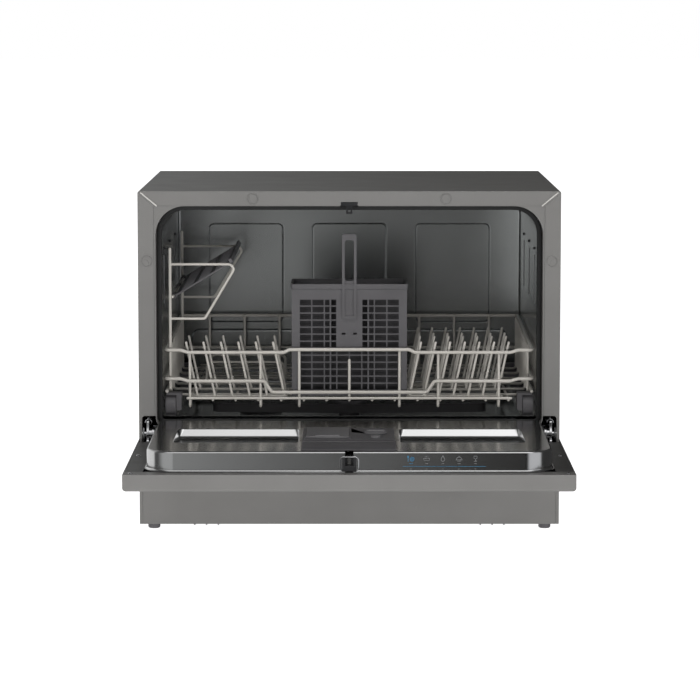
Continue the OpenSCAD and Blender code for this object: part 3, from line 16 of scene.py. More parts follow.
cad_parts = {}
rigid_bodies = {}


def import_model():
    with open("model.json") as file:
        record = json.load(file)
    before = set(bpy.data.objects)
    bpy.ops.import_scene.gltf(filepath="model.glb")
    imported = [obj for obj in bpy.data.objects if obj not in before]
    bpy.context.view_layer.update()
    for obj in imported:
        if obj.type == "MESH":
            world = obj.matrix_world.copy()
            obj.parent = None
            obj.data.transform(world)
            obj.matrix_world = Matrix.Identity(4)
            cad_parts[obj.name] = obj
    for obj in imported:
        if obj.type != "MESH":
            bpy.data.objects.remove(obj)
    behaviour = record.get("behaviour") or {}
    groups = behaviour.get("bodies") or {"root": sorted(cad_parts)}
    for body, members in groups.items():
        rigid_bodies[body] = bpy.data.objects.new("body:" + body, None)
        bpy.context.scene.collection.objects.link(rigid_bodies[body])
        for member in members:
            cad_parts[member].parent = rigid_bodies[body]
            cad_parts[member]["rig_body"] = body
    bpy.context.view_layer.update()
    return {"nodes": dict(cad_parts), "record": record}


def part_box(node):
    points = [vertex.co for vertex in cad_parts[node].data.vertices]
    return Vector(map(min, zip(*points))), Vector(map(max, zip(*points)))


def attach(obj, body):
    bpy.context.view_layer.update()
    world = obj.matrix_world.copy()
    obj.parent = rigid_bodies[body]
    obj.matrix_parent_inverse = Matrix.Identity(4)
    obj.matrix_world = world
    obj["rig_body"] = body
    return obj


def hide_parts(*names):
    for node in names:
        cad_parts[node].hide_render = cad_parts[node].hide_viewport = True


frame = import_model()
NODES = frame["nodes"]

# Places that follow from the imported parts
CASE_LOW, CASE_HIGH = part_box("casing")
FRONT = CASE_LOW.y
HALF_W = CASE_HIGH.x
TOP = CASE_HIGH.z
RACK_LOW, RACK_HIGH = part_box("rack_front")
PAN_LOW, PAN_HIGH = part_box("door_liner")
TUB_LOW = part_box("tub")[0]

# Door opening and what lies round it
SIDE_RAIL = 0.023
TOP_RAIL = 0.0195
OPENING_R = 0.038
OPENING_LOW_R = 0.010
OPEN_W = HALF_W - SIDE_RAIL
OPEN_TOP = TOP - TOP_RAIL
OPEN_LOW = 0.136
GASKET_W = 0.0065
SHEET = 0.001

# Meshes: points closer than WELD are one, and an edge that turns more than SHARP degrees stays sharp
WELD = 2e-6
SHARP = 35

# Camera: the height, distance and pitch that the photograph's perspective gives
CAMERA_AT = (0.0009, FRONT - 4.059, 0.6965)
CAMERA_PITCH = radians(6.46)
CAMERA_LENS = 161.1


def unit(v):
    """A vector made one long."""
    return v / np.linalg.norm(v)


# Surfaces are (points, corners, sizes): the points, the corner indices of all faces in one run,
# and how many corners each face has.


def grid(points, wrap=True):
    """Quads between neighbouring rows and columns of points. With wrap the last column meets the first."""
    rows, cols = points.shape[:2]
    r, c = np.meshgrid(np.arange(rows - 1), np.arange(cols if wrap else cols - 1), indexing="ij")
    a, b = r * cols + c, r * cols + (c + 1) % cols
    quads = np.stack([a, b, b + cols, a + cols], axis=-1).reshape(-1, 4)
    return points.reshape(-1, 3), quads.ravel(), np.full(len(quads), 4)


def with_ends(surface, cols):
    """The same surface with one flat face over its first row of points and one over its last."""
    points, corners, sizes = surface
    first, last = np.arange(cols)[::-1], np.arange(len(points) - cols, len(points))
    return points, np.concatenate([corners, first, last]), np.concatenate([sizes, [cols, cols]])


def join(surfaces):
    """Several surfaces as one: corner indices are moved on by the points that come before."""
    points, corners, sizes, base = [], [], [], 0
    for p, c, s in surfaces:
        points.append(p)
        corners.append(np.asarray(c) + base)
        sizes.append(s)
        base += len(p)
    return np.vstack(points), np.concatenate(corners), np.concatenate(sizes)


def mirrored(surface):
    """The surface and its mirror image in x."""
    points, corners, sizes = surface
    return join([surface, (points * (-1, 1, 1), corners, sizes)])


def piece(name, surface, material, body, replaces=(), sharp=SHARP, shell=0.0, closed=True,
          flat=False):
    """Makes a mesh piece from a surface, welds its seams, smooths all but its sharp edges and puts it on a
    body. A closed piece has its faces turned outwards."""
    points, corners, sizes = surface
    mesh = bpy.data.meshes.new(name)
    mesh.vertices.add(len(points))
    mesh.vertices.foreach_set("co", np.asarray(points, np.float32).ravel())
    mesh.loops.add(len(corners))
    mesh.loops.foreach_set("vertex_index", np.asarray(corners, np.int32))
    mesh.polygons.add(len(sizes))
    starts = np.concatenate([[0], np.cumsum(sizes)[:-1]])
    mesh.polygons.foreach_set("loop_start", np.asarray(starts, np.int32))
    mesh.update(calc_edges=True)
    mesh.validate()
    bm = bmesh.new()
    bm.from_mesh(mesh)
    bmesh.ops.remove_doubles(bm, verts=bm.verts, dist=WELD)
    if closed:
        bmesh.ops.recalc_face_normals(bm, faces=bm.faces)
    bm.to_mesh(mesh)
    bm.free()
    finish_piece(name, mesh, material, body, replaces, sharp, shell, flat)


def finish_piece(name, mesh, material, body, replaces, sharp, shell=0.0, flat=False):
    """Gives a mesh its shading, finish and body, and a wall on the inner side, or on the outer side where
    shell is negative. With flat, large faces keep their own direction up to the rounds beside them."""
    mesh.shade_smooth()
    mesh.set_sharp_from_angle(angle=radians(sharp))
    mesh.materials.clear()
    mesh.materials.append(material)
    obj = bpy.data.objects.new(name, mesh)
    bpy.context.scene.collection.objects.link(obj)
    if shell:
        wall = obj.modifiers.new("wall", "SOLIDIFY")
        wall.thickness = abs(shell)
        wall.offset = -1 if shell > 0 else 1
    if flat:
        normals = obj.modifiers.new("normals", "WEIGHTED_NORMAL")
        normals.keep_sharp = True
    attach(obj, body)
    if replaces:
        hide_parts(*replaces)
    return obj


def softened(node, width, material):
    """A copy of a CAD node's mesh, merged into whole faces, with a small round along every sharp edge."""
    source = NODES[node]
    mesh = source.data.copy()
    mesh.name = node + "_formed"
    bm = bmesh.new()
    bm.from_mesh(mesh)
    bmesh.ops.remove_doubles(bm, verts=bm.verts, dist=WELD)
    bmesh.ops.dissolve_limit(bm, angle_limit=radians(0.5), verts=bm.verts, edges=bm.edges)
    bm.to_mesh(mesh)
    bm.free()
    for layer in list(mesh.attributes):
        if layer.name in ("custom_normal", "sharp_edge"):
            mesh.attributes.remove(layer)
    obj = finish_piece(mesh.name, mesh, material, source["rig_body"], [node], SHARP)
    edge = obj.modifiers.new("edge", "BEVEL")
    edge.width = width
    edge.segments = 2
    edge.limit_method = "ANGLE"
    edge.angle_limit = radians(SHARP)
    edge.use_clamp_overlap = True
    edge.harden_normals = True


# Outlines


def round_rect(x0, y0, x1, y1, r_low, r_high=None, steps=8):
    """A rectangle with round corners, anticlockwise from its lower left: (points, outward normals). The
    lower corners have radius r_low and the upper ones r_high, each a quarter circle of the given steps."""
    r_high = r_low if r_high is None else r_high
    corners = [(x0, y0, r_low, pi, 1, 1), (x1, y0, r_low, 1.5 * pi, -1, 1), (x1, y1, r_high, 0, -1, -1),
               (x0, y1, r_high, 0.5 * pi, 1, -1)]
    points, normals = [], []
    for x, y, r, start, sx, sy in corners:
        a = start + np.linspace(0, pi / 2, steps + 1)
        n = np.column_stack([np.cos(a), np.sin(a)])
        points.append(np.array([x + sx * r, y + sy * r]) + r * n)
        normals.append(n)
    return np.vstack(points), np.vstack(normals)


def circle(x, y, r, sides=32):
    """Points round a circle and their outward normals."""
    a = np.linspace(0, 2 * pi, sides, endpoint=False)
    n = np.column_stack([np.cos(a), np.sin(a)])
    return np.array([x, y]) + r * n, n


def upright(uv, h):
    """Places outline points in x and z, with heights counted backwards along y from the cabinet's front."""
    return np.stack([uv[..., 0], FRONT + h, uv[..., 1]], axis=-1)


def lying(uv, h):
    """Places outline points in x and depth behind the front, with heights along z."""
    return np.stack([uv[..., 0], FRONT + uv[..., 1], h], axis=-1)


def moulding(outline, profile, place, wrap=True):
    """A profile of (offset, height) pairs carried round an outline: each point moves out along the
    outline's normal by the offset and to the height."""
    points, normals = outline
    profile = np.asarray(profile, float)
    uv = points[None] + profile[:, 0, None, None] * normals[None]
    h = np.broadcast_to(profile[:, 1, None], uv.shape[:2])
    return grid(place(uv, h), wrap)


def plate(outer, holes, h, place):
    """A flat face inside an outer loop of points, with a hole for each inner loop."""
    loops = [np.asarray(loop, float) for loop in [outer, *holes]]
    triangles = tessellate_polygon([[Vector((u, v, 0)) for u, v in loop] for loop in loops])
    uv = np.vstack(loops)
    points = place(uv, np.full(len(uv), h))
    triangles = np.array([t for t in triangles if len(set(t)) == 3])
    return points, triangles.ravel(), np.full(len(triangles), 3)


# Wires and tubes


def bent(corners, bend, step=radians(12)):
    """Points along a bent wire: straight between its corners, and round each corner on an arc of radius
    bend that touches both straight stretches."""
    corners = np.asarray(corners, float)
    out = [corners[:1]]
    for before, corner, after in zip(corners, corners[1:], corners[2:]):
        a, b = unit(before - corner), unit(after - corner)
        turn = pi - np.arccos(np.clip(a @ b, -1, 1))
        if turn < 0.03:
            continue
        middle, side = unit(a + b), unit(b - a)
        centre = corner + middle * bend / cos(turn / 2)
        t = np.linspace(-turn / 2, turn / 2, max(int(turn / step), 2) + 1)[:, None]
        out.append(centre - middle * bend * np.cos(t) + side * bend * np.sin(t))
    out.append(corners[-1:])
    return np.vstack(out)


def tube(path, r, sides=12):
    """A circle carried along a path. Its axes turn with the path, each pair being the last one less its
    share along the new direction, and both ends close in a quarter-round cap."""
    path = np.asarray(path, float)
    along = np.empty_like(path)
    step = np.diff(path, axis=0)
    step /= np.linalg.norm(step, axis=1)[:, None]
    along[0], along[-1] = step[0], step[-1]
    along[1:-1] = step[:-1] + step[1:]
    along /= np.linalg.norm(along, axis=1)[:, None]
    u = unit(np.cross(along[0], (0.31, 0.52, 0.79)))
    us = []
    for direction in along:
        u = unit(u - (u @ direction) * direction)
        us.append(u)
    us = np.array(us)
    lean = np.radians([75, 50, 25])
    head = path[0] - np.outer(r * np.sin(lean), along[0])
    tail = path[-1] + np.outer(r * np.sin(lean[::-1]), along[-1])
    centres = np.vstack([head, path, tail])
    radii = np.concatenate([r * np.cos(lean), np.full(len(path), r), r * np.cos(lean[::-1])])
    us = np.vstack([np.repeat(us[:1], 3, 0), us, np.repeat(us[-1:], 3, 0)])
    dirs = np.vstack([np.repeat(along[:1], 3, 0), along, np.repeat(along[-1:], 3, 0)])
    vs = np.cross(dirs, us)
    a = np.linspace(0, 2 * pi, sides, endpoint=False)
    ring = us[:, None] * np.cos(a)[None, :, None] + vs[:, None] * np.sin(a)[None, :, None]
    return with_ends(grid(centres[:, None] + radii[:, None, None] * ring), sides)


def bead(at, r, sides=12):
    """A small ball, as the coating leaves at the foot of a wire: a tube so short that its caps meet."""
    at, half = np.asarray(at, float), (0, 0, r * 0.05)
    return tube([at - half, at + half], r, sides)


def turned(profile, at, sides=32):
    """A profile of (radius, height) pairs turned round an upright axis through a point, its ends flat."""
    profile = np.asarray(profile, float)
    a = np.linspace(0, 2 * pi, sides, endpoint=False)
    ring = np.stack([np.cos(a), np.sin(a), np.zeros_like(a)], axis=-1)
    points = profile[:, 0, None, None] * ring[None]
    points[..., 2] += profile[:, 1, None]
    return with_ends(grid(points + np.asarray(at, float)), sides)


# Finishes


def add(tree, kind, inputs=None, **settings):
    """Adds a node, sets its properties and fills its inputs with values or links."""
    made = tree.nodes.new(kind)
    for key, value in settings.items():
        setattr(made, key, value)
    for key, value in (inputs or {}).items():
        if isinstance(value, bpy.types.NodeSocket):
            tree.links.new(value, made.inputs[key])
        else:
            made.inputs[key].default_value = value
    return made


def new_group(name, inputs, outputs):
    """A shader node group with named sockets: (tree, its input node, its output node)."""
    tree = bpy.data.node_groups.new(name, "ShaderNodeTree")
    for label, kind, default in inputs:
        socket = tree.interface.new_socket(label, in_out="INPUT", socket_type=kind)
        if default is not None:
            socket.default_value = default
    for label, kind in outputs:
        tree.interface.new_socket(label, in_out="OUTPUT", socket_type=kind)
    return tree, tree.nodes.new("NodeGroupInput"), tree.nodes.new("NodeGroupOutput")


def grain_group():
    """Fine even grain and slow broad change: two noises of the place, one at the given scale and one at
    about a hundredth of it."""
    tree, given, out = new_group(
        "grain",
        [("Place", "NodeSocketVector", None), ("Scale", "NodeSocketFloat", 900.0)],
        [("Fine", "NodeSocketFloat"), ("Broad", "NodeSocketFloat")])
    place = given.outputs["Place"]
    fine = add(tree, "ShaderNodeTexNoise", {"Vector": place, "Scale": given.outputs["Scale"], "Detail": 3.0,
                                            "Roughness": 0.6})
    slow = add(tree, "ShaderNodeMath", {0: given.outputs["Scale"], 1: 0.011}, operation="MULTIPLY")
    broad = add(tree, "ShaderNodeTexNoise", {"Vector": place, "Scale": slow.outputs[0], "Detail": 4.0,
                                             "Roughness": 0.55})
    tree.links.new(fine.outputs["Fac"], out.inputs["Fine"])
    tree.links.new(broad.outputs["Fac"], out.inputs["Broad"])
    return tree


def brushed_group():
    """Brush marks and soft clouds: noise of the place, which for the marks is stretched along the brushing
    direction by one factor per axis, and broad even noise for the clouds."""
    tree, given, out = new_group(
        "brushed",
        [("Place", "NodeSocketVector", None), ("Squeeze", "NodeSocketVector", (4.0, 900.0, 900.0))],
        [("Marks", "NodeSocketFloat"), ("Clouds", "NodeSocketFloat")])
    squeezed = add(tree, "ShaderNodeVectorMath", {0: given.outputs["Place"], 1: given.outputs["Squeeze"]},
                   operation="MULTIPLY")
    marks = add(tree, "ShaderNodeTexNoise", {"Vector": squeezed.outputs[0], "Scale": 1.0, "Detail": 4.0,
                                             "Roughness": 0.65})
    clouds = add(tree, "ShaderNodeTexNoise", {"Vector": given.outputs["Place"], "Scale": 9.0,
                                              "Detail": 3.0, "Roughness": 0.5})
    tree.links.new(marks.outputs["Fac"], out.inputs["Marks"])
    tree.links.new(clouds.outputs["Fac"], out.inputs["Clouds"])
    return tree


def wear_group():
    """Thin scratches and rubbed spots: the crests of a distorted noise, kept only where a slow noise is
    high."""
    tree, given, out = new_group(
        "wear",
        [("Place", "NodeSocketVector", None), ("Scale", "NodeSocketFloat", 60.0),
         ("Amount", "NodeSocketFloat", 0.5)],
        [("Mask", "NodeSocketFloat")])
    place = given.outputs["Place"]
    scratch = add(tree, "ShaderNodeTexNoise", {"Vector": place, "Scale": given.outputs["Scale"],
                                               "Detail": 5.0, "Roughness": 0.7, "Distortion": 1.4})
    crest = add(tree, "ShaderNodeMapRange", {"Value": scratch.outputs["Fac"], "From Min": 0.62,
                                             "From Max": 0.72})
    spots = add(tree, "ShaderNodeTexNoise", {"Vector": place, "Scale": 14.0, "Detail": 2.0})
    kept = add(tree, "ShaderNodeMapRange", {"Value": spots.outputs["Fac"], "From Min": 0.5,
                                            "From Max": 0.66})
    both = add(tree, "ShaderNodeMath", {0: crest.outputs[0], 1: kept.outputs[0]}, operation="MULTIPLY")
    some = add(tree, "ShaderNodeMath", {0: both.outputs[0], 1: given.outputs["Amount"]},
               operation="MULTIPLY")
    tree.links.new(some.outputs[0], out.inputs["Mask"])
    return tree


GRAIN = grain_group()
BRUSHED = brushed_group()
WEAR = wear_group()


def use(tree, group, place, **values):
    """A shared group placed in a material and fed with its own values."""
    made = add(tree, "ShaderNodeGroup", node_tree=group)
    tree.links.new(place, made.inputs["Place"])
    for key, value in values.items():
        made.inputs[key].default_value = value
    return made


def blank(name):
    """A new material: (material, tree, its shader, the object coordinates)."""
    material = bpy.data.materials.new(name)
    material.use_nodes = True
    tree = material.node_tree
    shader = tree.nodes["Principled BSDF"]
    place = add(tree, "ShaderNodeTexCoord").outputs["Object"]
    return material, tree, shader, place


def bump(tree, shader, height, strength, distance):
    """Feeds a height to the shader's normal."""
    made = add(tree, "ShaderNodeBump", {"Height": height, "Strength": strength, "Distance": distance})
    tree.links.new(made.outputs["Normal"], shader.inputs["Normal"])


def span(tree, value, low, high):
    """A value from 0.3 to 0.7, where noise mostly lies, stretched to run from low to high."""
    return add(tree, "ShaderNodeMapRange", {"Value": value, "From Min": 0.3, "From Max": 0.7,
                                            "To Min": low, "To Max": high}).outputs[0]


def blended(tree, mask, a, b):
    """Colour a where the mask is 0 and colour b where it is 1."""
    made = add(tree, "ShaderNodeMix", data_type="RGBA")
    for socket, value in ((made.inputs[0], mask), (made.inputs[6], a), (made.inputs[7], b)):
        if isinstance(value, bpy.types.NodeSocket):
            tree.links.new(value, socket)
        else:
            socket.default_value = (*value, 1.0) if isinstance(value, tuple) else value
    return made.outputs[2]


def coated(name, dark, light, rough, grain=900.0, depth=0.00004, wear=0.25, worn=None, coat=0.0):
    """Paint, coating or moulded plastic: broad change of tone between dark and light, fine grain of the
    given scale and depth in the surface, and a few rubbed marks in the worn colour."""
    material, tree, shader, place = blank(name)
    grained = use(tree, GRAIN, place, Scale=grain)
    marks = use(tree, WEAR, place, Scale=75.0, Amount=wear)
    tone = blended(tree, span(tree, grained.outputs["Broad"], 0.0, 1.0), dark, light)
    worn = worn or tuple(min(1.0, c * 1.6 + 0.02) for c in light)
    tree.links.new(blended(tree, marks.outputs["Mask"], tone, worn), shader.inputs["Base Color"])
    tree.links.new(span(tree, grained.outputs["Broad"], rough[0], rough[1]), shader.inputs["Roughness"])
    bump(tree, shader, grained.outputs["Fine"], 0.35, depth)
    shader.inputs["Coat Weight"].default_value = coat
    shader.inputs["Coat Roughness"].default_value = 0.25
    return material


def steel(name, tone, rough, squeeze, depth, dim, wear=0.35):
    """Sheet steel: brush marks in its relief, and soft clouds that take its tone down to the share dim and
    change its roughness."""
    material, tree, shader, place = blank(name)
    brush = use(tree, BRUSHED, place, Squeeze=squeeze)
    marks = use(tree, WEAR, place, Scale=120.0, Amount=wear)
    dark = tuple(c * dim for c in tone)
    mixed = blended(tree, span(tree, brush.outputs["Clouds"], 0.0, 1.0), dark, tone)
    lighter = tuple(min(1.0, c * 1.25) for c in tone)
    tree.links.new(blended(tree, marks.outputs["Mask"], mixed, lighter), shader.inputs["Base Color"])
    tree.links.new(span(tree, brush.outputs["Clouds"], rough[0], rough[1]), shader.inputs["Roughness"])
    bump(tree, shader, brush.outputs["Marks"], 0.3, depth)
    shader.inputs["Metallic"].default_value = 1.0
    return material


TUB_BRUSH = (6.0, 700.0, 700.0)
EVEN_BRUSH = (300.0, 300.0, 300.0)
PAINT = coated("painted_steel", (0.136, 0.133, 0.128), (0.148, 0.145, 0.140), (0.42, 0.50), 1400.0, 2e-5)
DARK_PAINT = coated("dark_paint", (0.040, 0.039, 0.038), (0.052, 0.051, 0.049), (0.40, 0.50), 1400.0, 2e-5)
# painted highlight: a paint much paler than the frame's, standing in for the light caught by the corner ribs
RIB_PAINTED_HIGHLIGHT = coated("rib_painted_highlight", (0.40, 0.39, 0.37), (0.46, 0.45, 0.43), (0.35, 0.45), 1400.0, 2e-5)
TUB_STEEL = steel("tub_steel", (0.60, 0.61, 0.605), (0.22, 0.25), TUB_BRUSH, 5e-7, 0.92, 0.05)
LINER_STEEL = steel("liner_steel", (0.56, 0.56, 0.56), (0.15, 0.18), TUB_BRUSH, 6e-7, 0.92, 0.08)
BRIGHT_STEEL = steel("bright_steel", (0.60, 0.60, 0.61), (0.16, 0.24), EVEN_BRUSH, 6e-6, 0.85)
# rough steel for the tub's side ribs; its paler tone than the tub's steel is a painted highlight
MATT_RIB_STEEL_PAINTED_HIGHLIGHT = steel("matt_rib_steel_painted_highlight", (0.82, 0.82, 0.82), (0.50, 0.60), EVEN_BRUSH, 6e-6, 0.9)
RUBBER = coated("black_rubber", (0.010, 0.010, 0.010), (0.016, 0.016, 0.016), (0.42, 0.55), 700.0, wear=0.1)
BLACK = coated("black_plastic", (0.012, 0.012, 0.013), (0.020, 0.020, 0.021), (0.28, 0.40), 1100.0,
               wear=0.15)
GREY = coated("grey_plastic", (0.072, 0.069, 0.073), (0.092, 0.089, 0.093), (0.40, 0.54), 1300.0, 5e-5)
MID_GREY = coated("mid_grey_plastic", (0.11, 0.107, 0.111), (0.14, 0.137, 0.14), (0.38, 0.5), 1300.0, 4e-5)
COATED = coated("coated_wire", (0.40, 0.38, 0.345), (0.47, 0.45, 0.415), (0.30, 0.42), 800.0, 4e-5, 0.15,
                (0.33, 0.31, 0.28), 0.25)
PALE = coated("pale_plastic", (0.55, 0.55, 0.53), (0.63, 0.63, 0.61), (0.38, 0.5), 1000.0, 3e-5, 0.2,
              (0.45, 0.44, 0.42))
BOARD = coated("board_green", (0.02, 0.10, 0.035), (0.03, 0.14, 0.05), (0.3, 0.45), 1500.0, 3e-5, 0.3)
ICON_GREY = coated("icon_grey", (0.16, 0.165, 0.17), (0.20, 0.205, 0.21), (0.4, 0.5), 900.0, 1e-5)
ICON_BLUE = coated("icon_blue", (0.02, 0.14, 0.27), (0.03, 0.19, 0.34), (0.4, 0.5), 900.0, 1e-5)


def painted_shade_inside(material, low, high, share):
    """Painted shade: darkens a finish by a share inside a box, where the inside of an open basket lies in
    shade. A place is inside where its largest distance from the box's middle, in half sizes, is under one."""
    tree = material.node_tree
    shader = tree.nodes["Principled BSDF"]
    base = shader.inputs["Base Color"].links[0].from_socket
    middle, half = (low + high) / 2, (high - low) / 2
    place = add(tree, "ShaderNodeTexCoord").outputs["Object"]
    moved = add(tree, "ShaderNodeVectorMath", {0: place, 1: tuple(middle)}, operation="SUBTRACT")
    scaled = add(tree, "ShaderNodeVectorMath", {0: moved.outputs[0], 1: tuple(half)}, operation="DIVIDE")
    size = add(tree, "ShaderNodeVectorMath", {0: scaled.outputs[0]}, operation="ABSOLUTE")
    parts = add(tree, "ShaderNodeSeparateXYZ", {0: size.outputs[0]})
    wide = add(tree, "ShaderNodeMath", {0: parts.outputs[0], 1: parts.outputs[1]}, operation="MAXIMUM")
    all_three = add(tree, "ShaderNodeMath", {0: wide.outputs[0], 1: parts.outputs[2]}, operation="MAXIMUM")
    inside = add(tree, "ShaderNodeMath", {0: all_three.outputs[0], 1: 1.0}, operation="LESS_THAN")
    # painted shade: the finish is darkened by the share everywhere inside the box
    shade = add(tree, "ShaderNodeMath", {0: inside.outputs[0], 1: -share, 2: 1.0}, operation="MULTIPLY_ADD")
    toned = add(tree, "ShaderNodeVectorMath", {0: base, 3: shade.outputs[0]}, operation="SCALE")
    tree.links.new(toned.outputs[0], shader.inputs["Base Color"])


FINISHES = {
    "painted_shell": PAINT, "stainless": TUB_STEEL, "bright_steel": BRIGHT_STEEL, "black_rubber": RUBBER,
    "black_plastic": BLACK, "dark_plastic": GREY, "coated_wire": COATED, "pale_plastic": PALE,
    "board_green": BOARD,
}
SLOT_OF = {part["node"]: part["material_slot"] for part in frame["record"]["subparts"]}


def dress_nodes():
    """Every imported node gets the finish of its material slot."""
    for node, obj in NODES.items():
        obj.data.materials.clear()
        obj.data.materials.append(FINISHES[SLOT_OF[node]])
    for node in ("detergent_lid", "lid_catch", "rinse_cap"):
        NODES[node].data.materials[0] = MID_GREY
    NODES["latch_claw"].data.materials[0] = DARK_PAINT


# Rack: its wires are bent and welded, and every tine stands in a bead of coating

RAIL_R = 0.0023
WIRE_R = 0.0018
TINE_R = 0.0017
SUNK = 0.0004
RACK_Y = RACK_LOW.y - FRONT + RAIL_R
RACK_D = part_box("rack_rear")[1].y - FRONT - RAIL_R - RACK_Y
LEG_Z = RACK_LOW.z + WIRE_R
WIRE_Z = LEG_Z + 0.008
CROSS_Z = WIRE_Z + 2 * WIRE_R - SUNK
SKIRT_Z = CROSS_Z + 0.0084
MID_Z = WIRE_Z + 0.026
RAIL_Z = WIRE_Z + 0.064
END_UP = 0.003
REAR_UP = 0.008
SIDE_X = RACK_HIGH.x - RAIL_R
INNER_X = SIDE_X - RAIL_R - WIRE_R + SUNK
BAR_X = 0.213
STEP_X = (0.212, 0.222)
DIP_X = (0.102, 0.112)
HUMP_X = 0.076
HUMP_UP = 0.0037
CORNER_L = 0.014
FOOT_L = 0.014
UPRIGHT_X = (-0.210, -0.117, -0.066, 0.066, 0.117, 0.197)
UPRIGHT_Y = RAIL_R + WIRE_R - SUNK
BAR_Y = UPRIGHT_Y - 2 * WIRE_R + SUNK
CROSS_Y = [0.040 + i * (RACK_D - 0.078) / 5 for i in range(6)]
SIDE_Y = sorted(CROSS_Y + [(a + b) / 2 for a, b in zip(CROSS_Y, CROSS_Y[1:])])
RAIL_BEND = 0.005


def rack_wire(corners, r, bend=0.004, sides=12):
    """A bent wire whose corners are given in x, depth behind the rack's front rail, and z."""
    corners = np.asarray(corners, float) + (0, FRONT + RACK_Y, 0)
    return tube(bent(corners, bend), r, sides)


def rack_rail(corners):
    """One of the thick wires that run round the rack."""
    return rack_wire(corners, RAIL_R, RAIL_BEND, 14)


def rack_front_wires():
    """Two stepped rails round the front corners, the floor bar, and uprights that turn back into feet."""
    (step_in, step_out), (dip_in, dip_out) = STEP_X, DIP_X
    high, low = RAIL_Z + END_UP, MID_Z + END_UP
    top_half = [(HUMP_X + 0.003, 0, RAIL_Z + HUMP_UP), (HUMP_X + 0.010, 0, RAIL_Z), (step_in, 0, RAIL_Z),
                (step_out, 0, high), (SIDE_X, 0, high), (SIDE_X, CORNER_L, high)]
    low_half = [(dip_in, 0, CROSS_Z + 0.008), (dip_out, 0, MID_Z), (step_in, 0, MID_Z), (step_out, 0, low),
                (SIDE_X, 0, low), (SIDE_X, CORNER_L, low)]
    wires = [rack_rail([(-x, y, z) for x, y, z in reversed(half)] + half) for half in (top_half, low_half)]
    wires.append(rack_wire([(-BAR_X, BAR_Y, CROSS_Z), (BAR_X, BAR_Y, CROSS_Z)], WIRE_R))
    for x in UPRIGHT_X:
        top = RAIL_Z + (0.004 if abs(x) < HUMP_X else 0)
        back = UPRIGHT_Y + FOOT_L
        wires.append(rack_wire([(x, UPRIGHT_Y, top), (x, UPRIGHT_Y, LEG_Z), (x, back, LEG_Z),
                                (x, back, WIRE_Z - 0.0025)], WIRE_R))
    wires.append(rack_wire([(0, UPRIGHT_Y, CROSS_Z - 0.001), (0, UPRIGHT_Y, CROSS_Z + 0.050)], WIRE_R))
    return join(wires)


def rack_rear_wires():
    """Two plain rails round the rear corners, the floor bar and the uprights."""
    top, low, front = RAIL_Z + END_UP + REAR_UP, MID_Z + END_UP, RACK_D - CORNER_L
    wires = [rack_rail([(-SIDE_X, front, z), (-SIDE_X, RACK_D, z), (SIDE_X, RACK_D, z), (SIDE_X, front, z)])
             for z in (low, top)]
    wires.append(rack_wire([(-BAR_X, RACK_D - BAR_Y, CROSS_Z), (BAR_X, RACK_D - BAR_Y, CROSS_Z)], WIRE_R))
    y = RACK_D - UPRIGHT_Y
    wires += [rack_wire([(x, y, CROSS_Z - 0.001), (x, y, top)], WIRE_R) for x in np.linspace(-0.2, 0.2, 9)]
    return join(wires)


def rack_side_wires():
    """Three rails along each side, the top one rising to the rear, and the bars between them."""
    y0, y1 = CORNER_L, RACK_D - CORNER_L
    top, low = RAIL_Z + END_UP, MID_Z + END_UP
    wires = [rack_wire([(SIDE_X, front, z0), (SIDE_X, rear, z1)], RAIL_R, sides=14)
             for front, rear, z0, z1 in ((y0, y1, top, top + REAR_UP), (y0, y1, low, low),
                                         (y0 - 0.008, y1 + 0.008, SKIRT_Z, SKIRT_Z))]
    for y in SIDE_Y:
        high = top + REAR_UP * (y - y0) / (y1 - y0)
        wires.append(rack_wire([(INNER_X, y, SKIRT_Z - RAIL_R), (INNER_X, y, high)], WIRE_R))
    return mirrored(join(wires))


def rack_floor_wires():
    """Wires from front to back, and cross wires that turn up at both sides."""
    front = UPRIGHT_Y + WIRE_R
    wires = [rack_wire([(x, front, WIRE_Z), (x, RACK_D - front, WIRE_Z)], WIRE_R)
             for x in np.linspace(-0.21, 0.21, 15)]
    up = SKIRT_Z - RAIL_R
    for y in CROSS_Y:
        wires.append(rack_wire([(-INNER_X, y, up), (-INNER_X, y, CROSS_Z), (INNER_X, y, CROSS_Z),
                                (INNER_X, y, up)], WIRE_R))
    return join(wires)


TINE_BASE = WIRE_Z + 2 * WIRE_R + 0.00015
TINE_TIP = WIRE_Z + 0.075
TINE_LEAN = radians(12)
LEFT_X, LEFT_PITCH = -0.0855, 0.023
RIGHT_X, RIGHT_PITCH = 0.0795, 0.0193
ARCH_RISE, ARCH_W = 0.026, 0.106


def tine_row(x, y, pitch, count, side):
    """Plate tines on one bar, leaning outwards, each with a bead where it is welded on."""
    shift = (TINE_TIP - TINE_BASE) * tan(TINE_LEAN)
    end = x + side * (pitch * (count - 1) + 0.006)
    wires = [rack_wire([(x - side * 0.002, y, TINE_BASE), (end, y, TINE_BASE)], WIRE_R)]
    for foot in x + side * pitch * np.arange(count):
        wires.append(rack_wire([(foot, y, TINE_BASE), (foot + side * shift, y, TINE_TIP)], TINE_R))
        weld = (foot + side * 0.0002, FRONT + RACK_Y + y, TINE_BASE + 0.0004)
        wires.append(bead(weld, WIRE_R * 1.18))
    return join(wires)


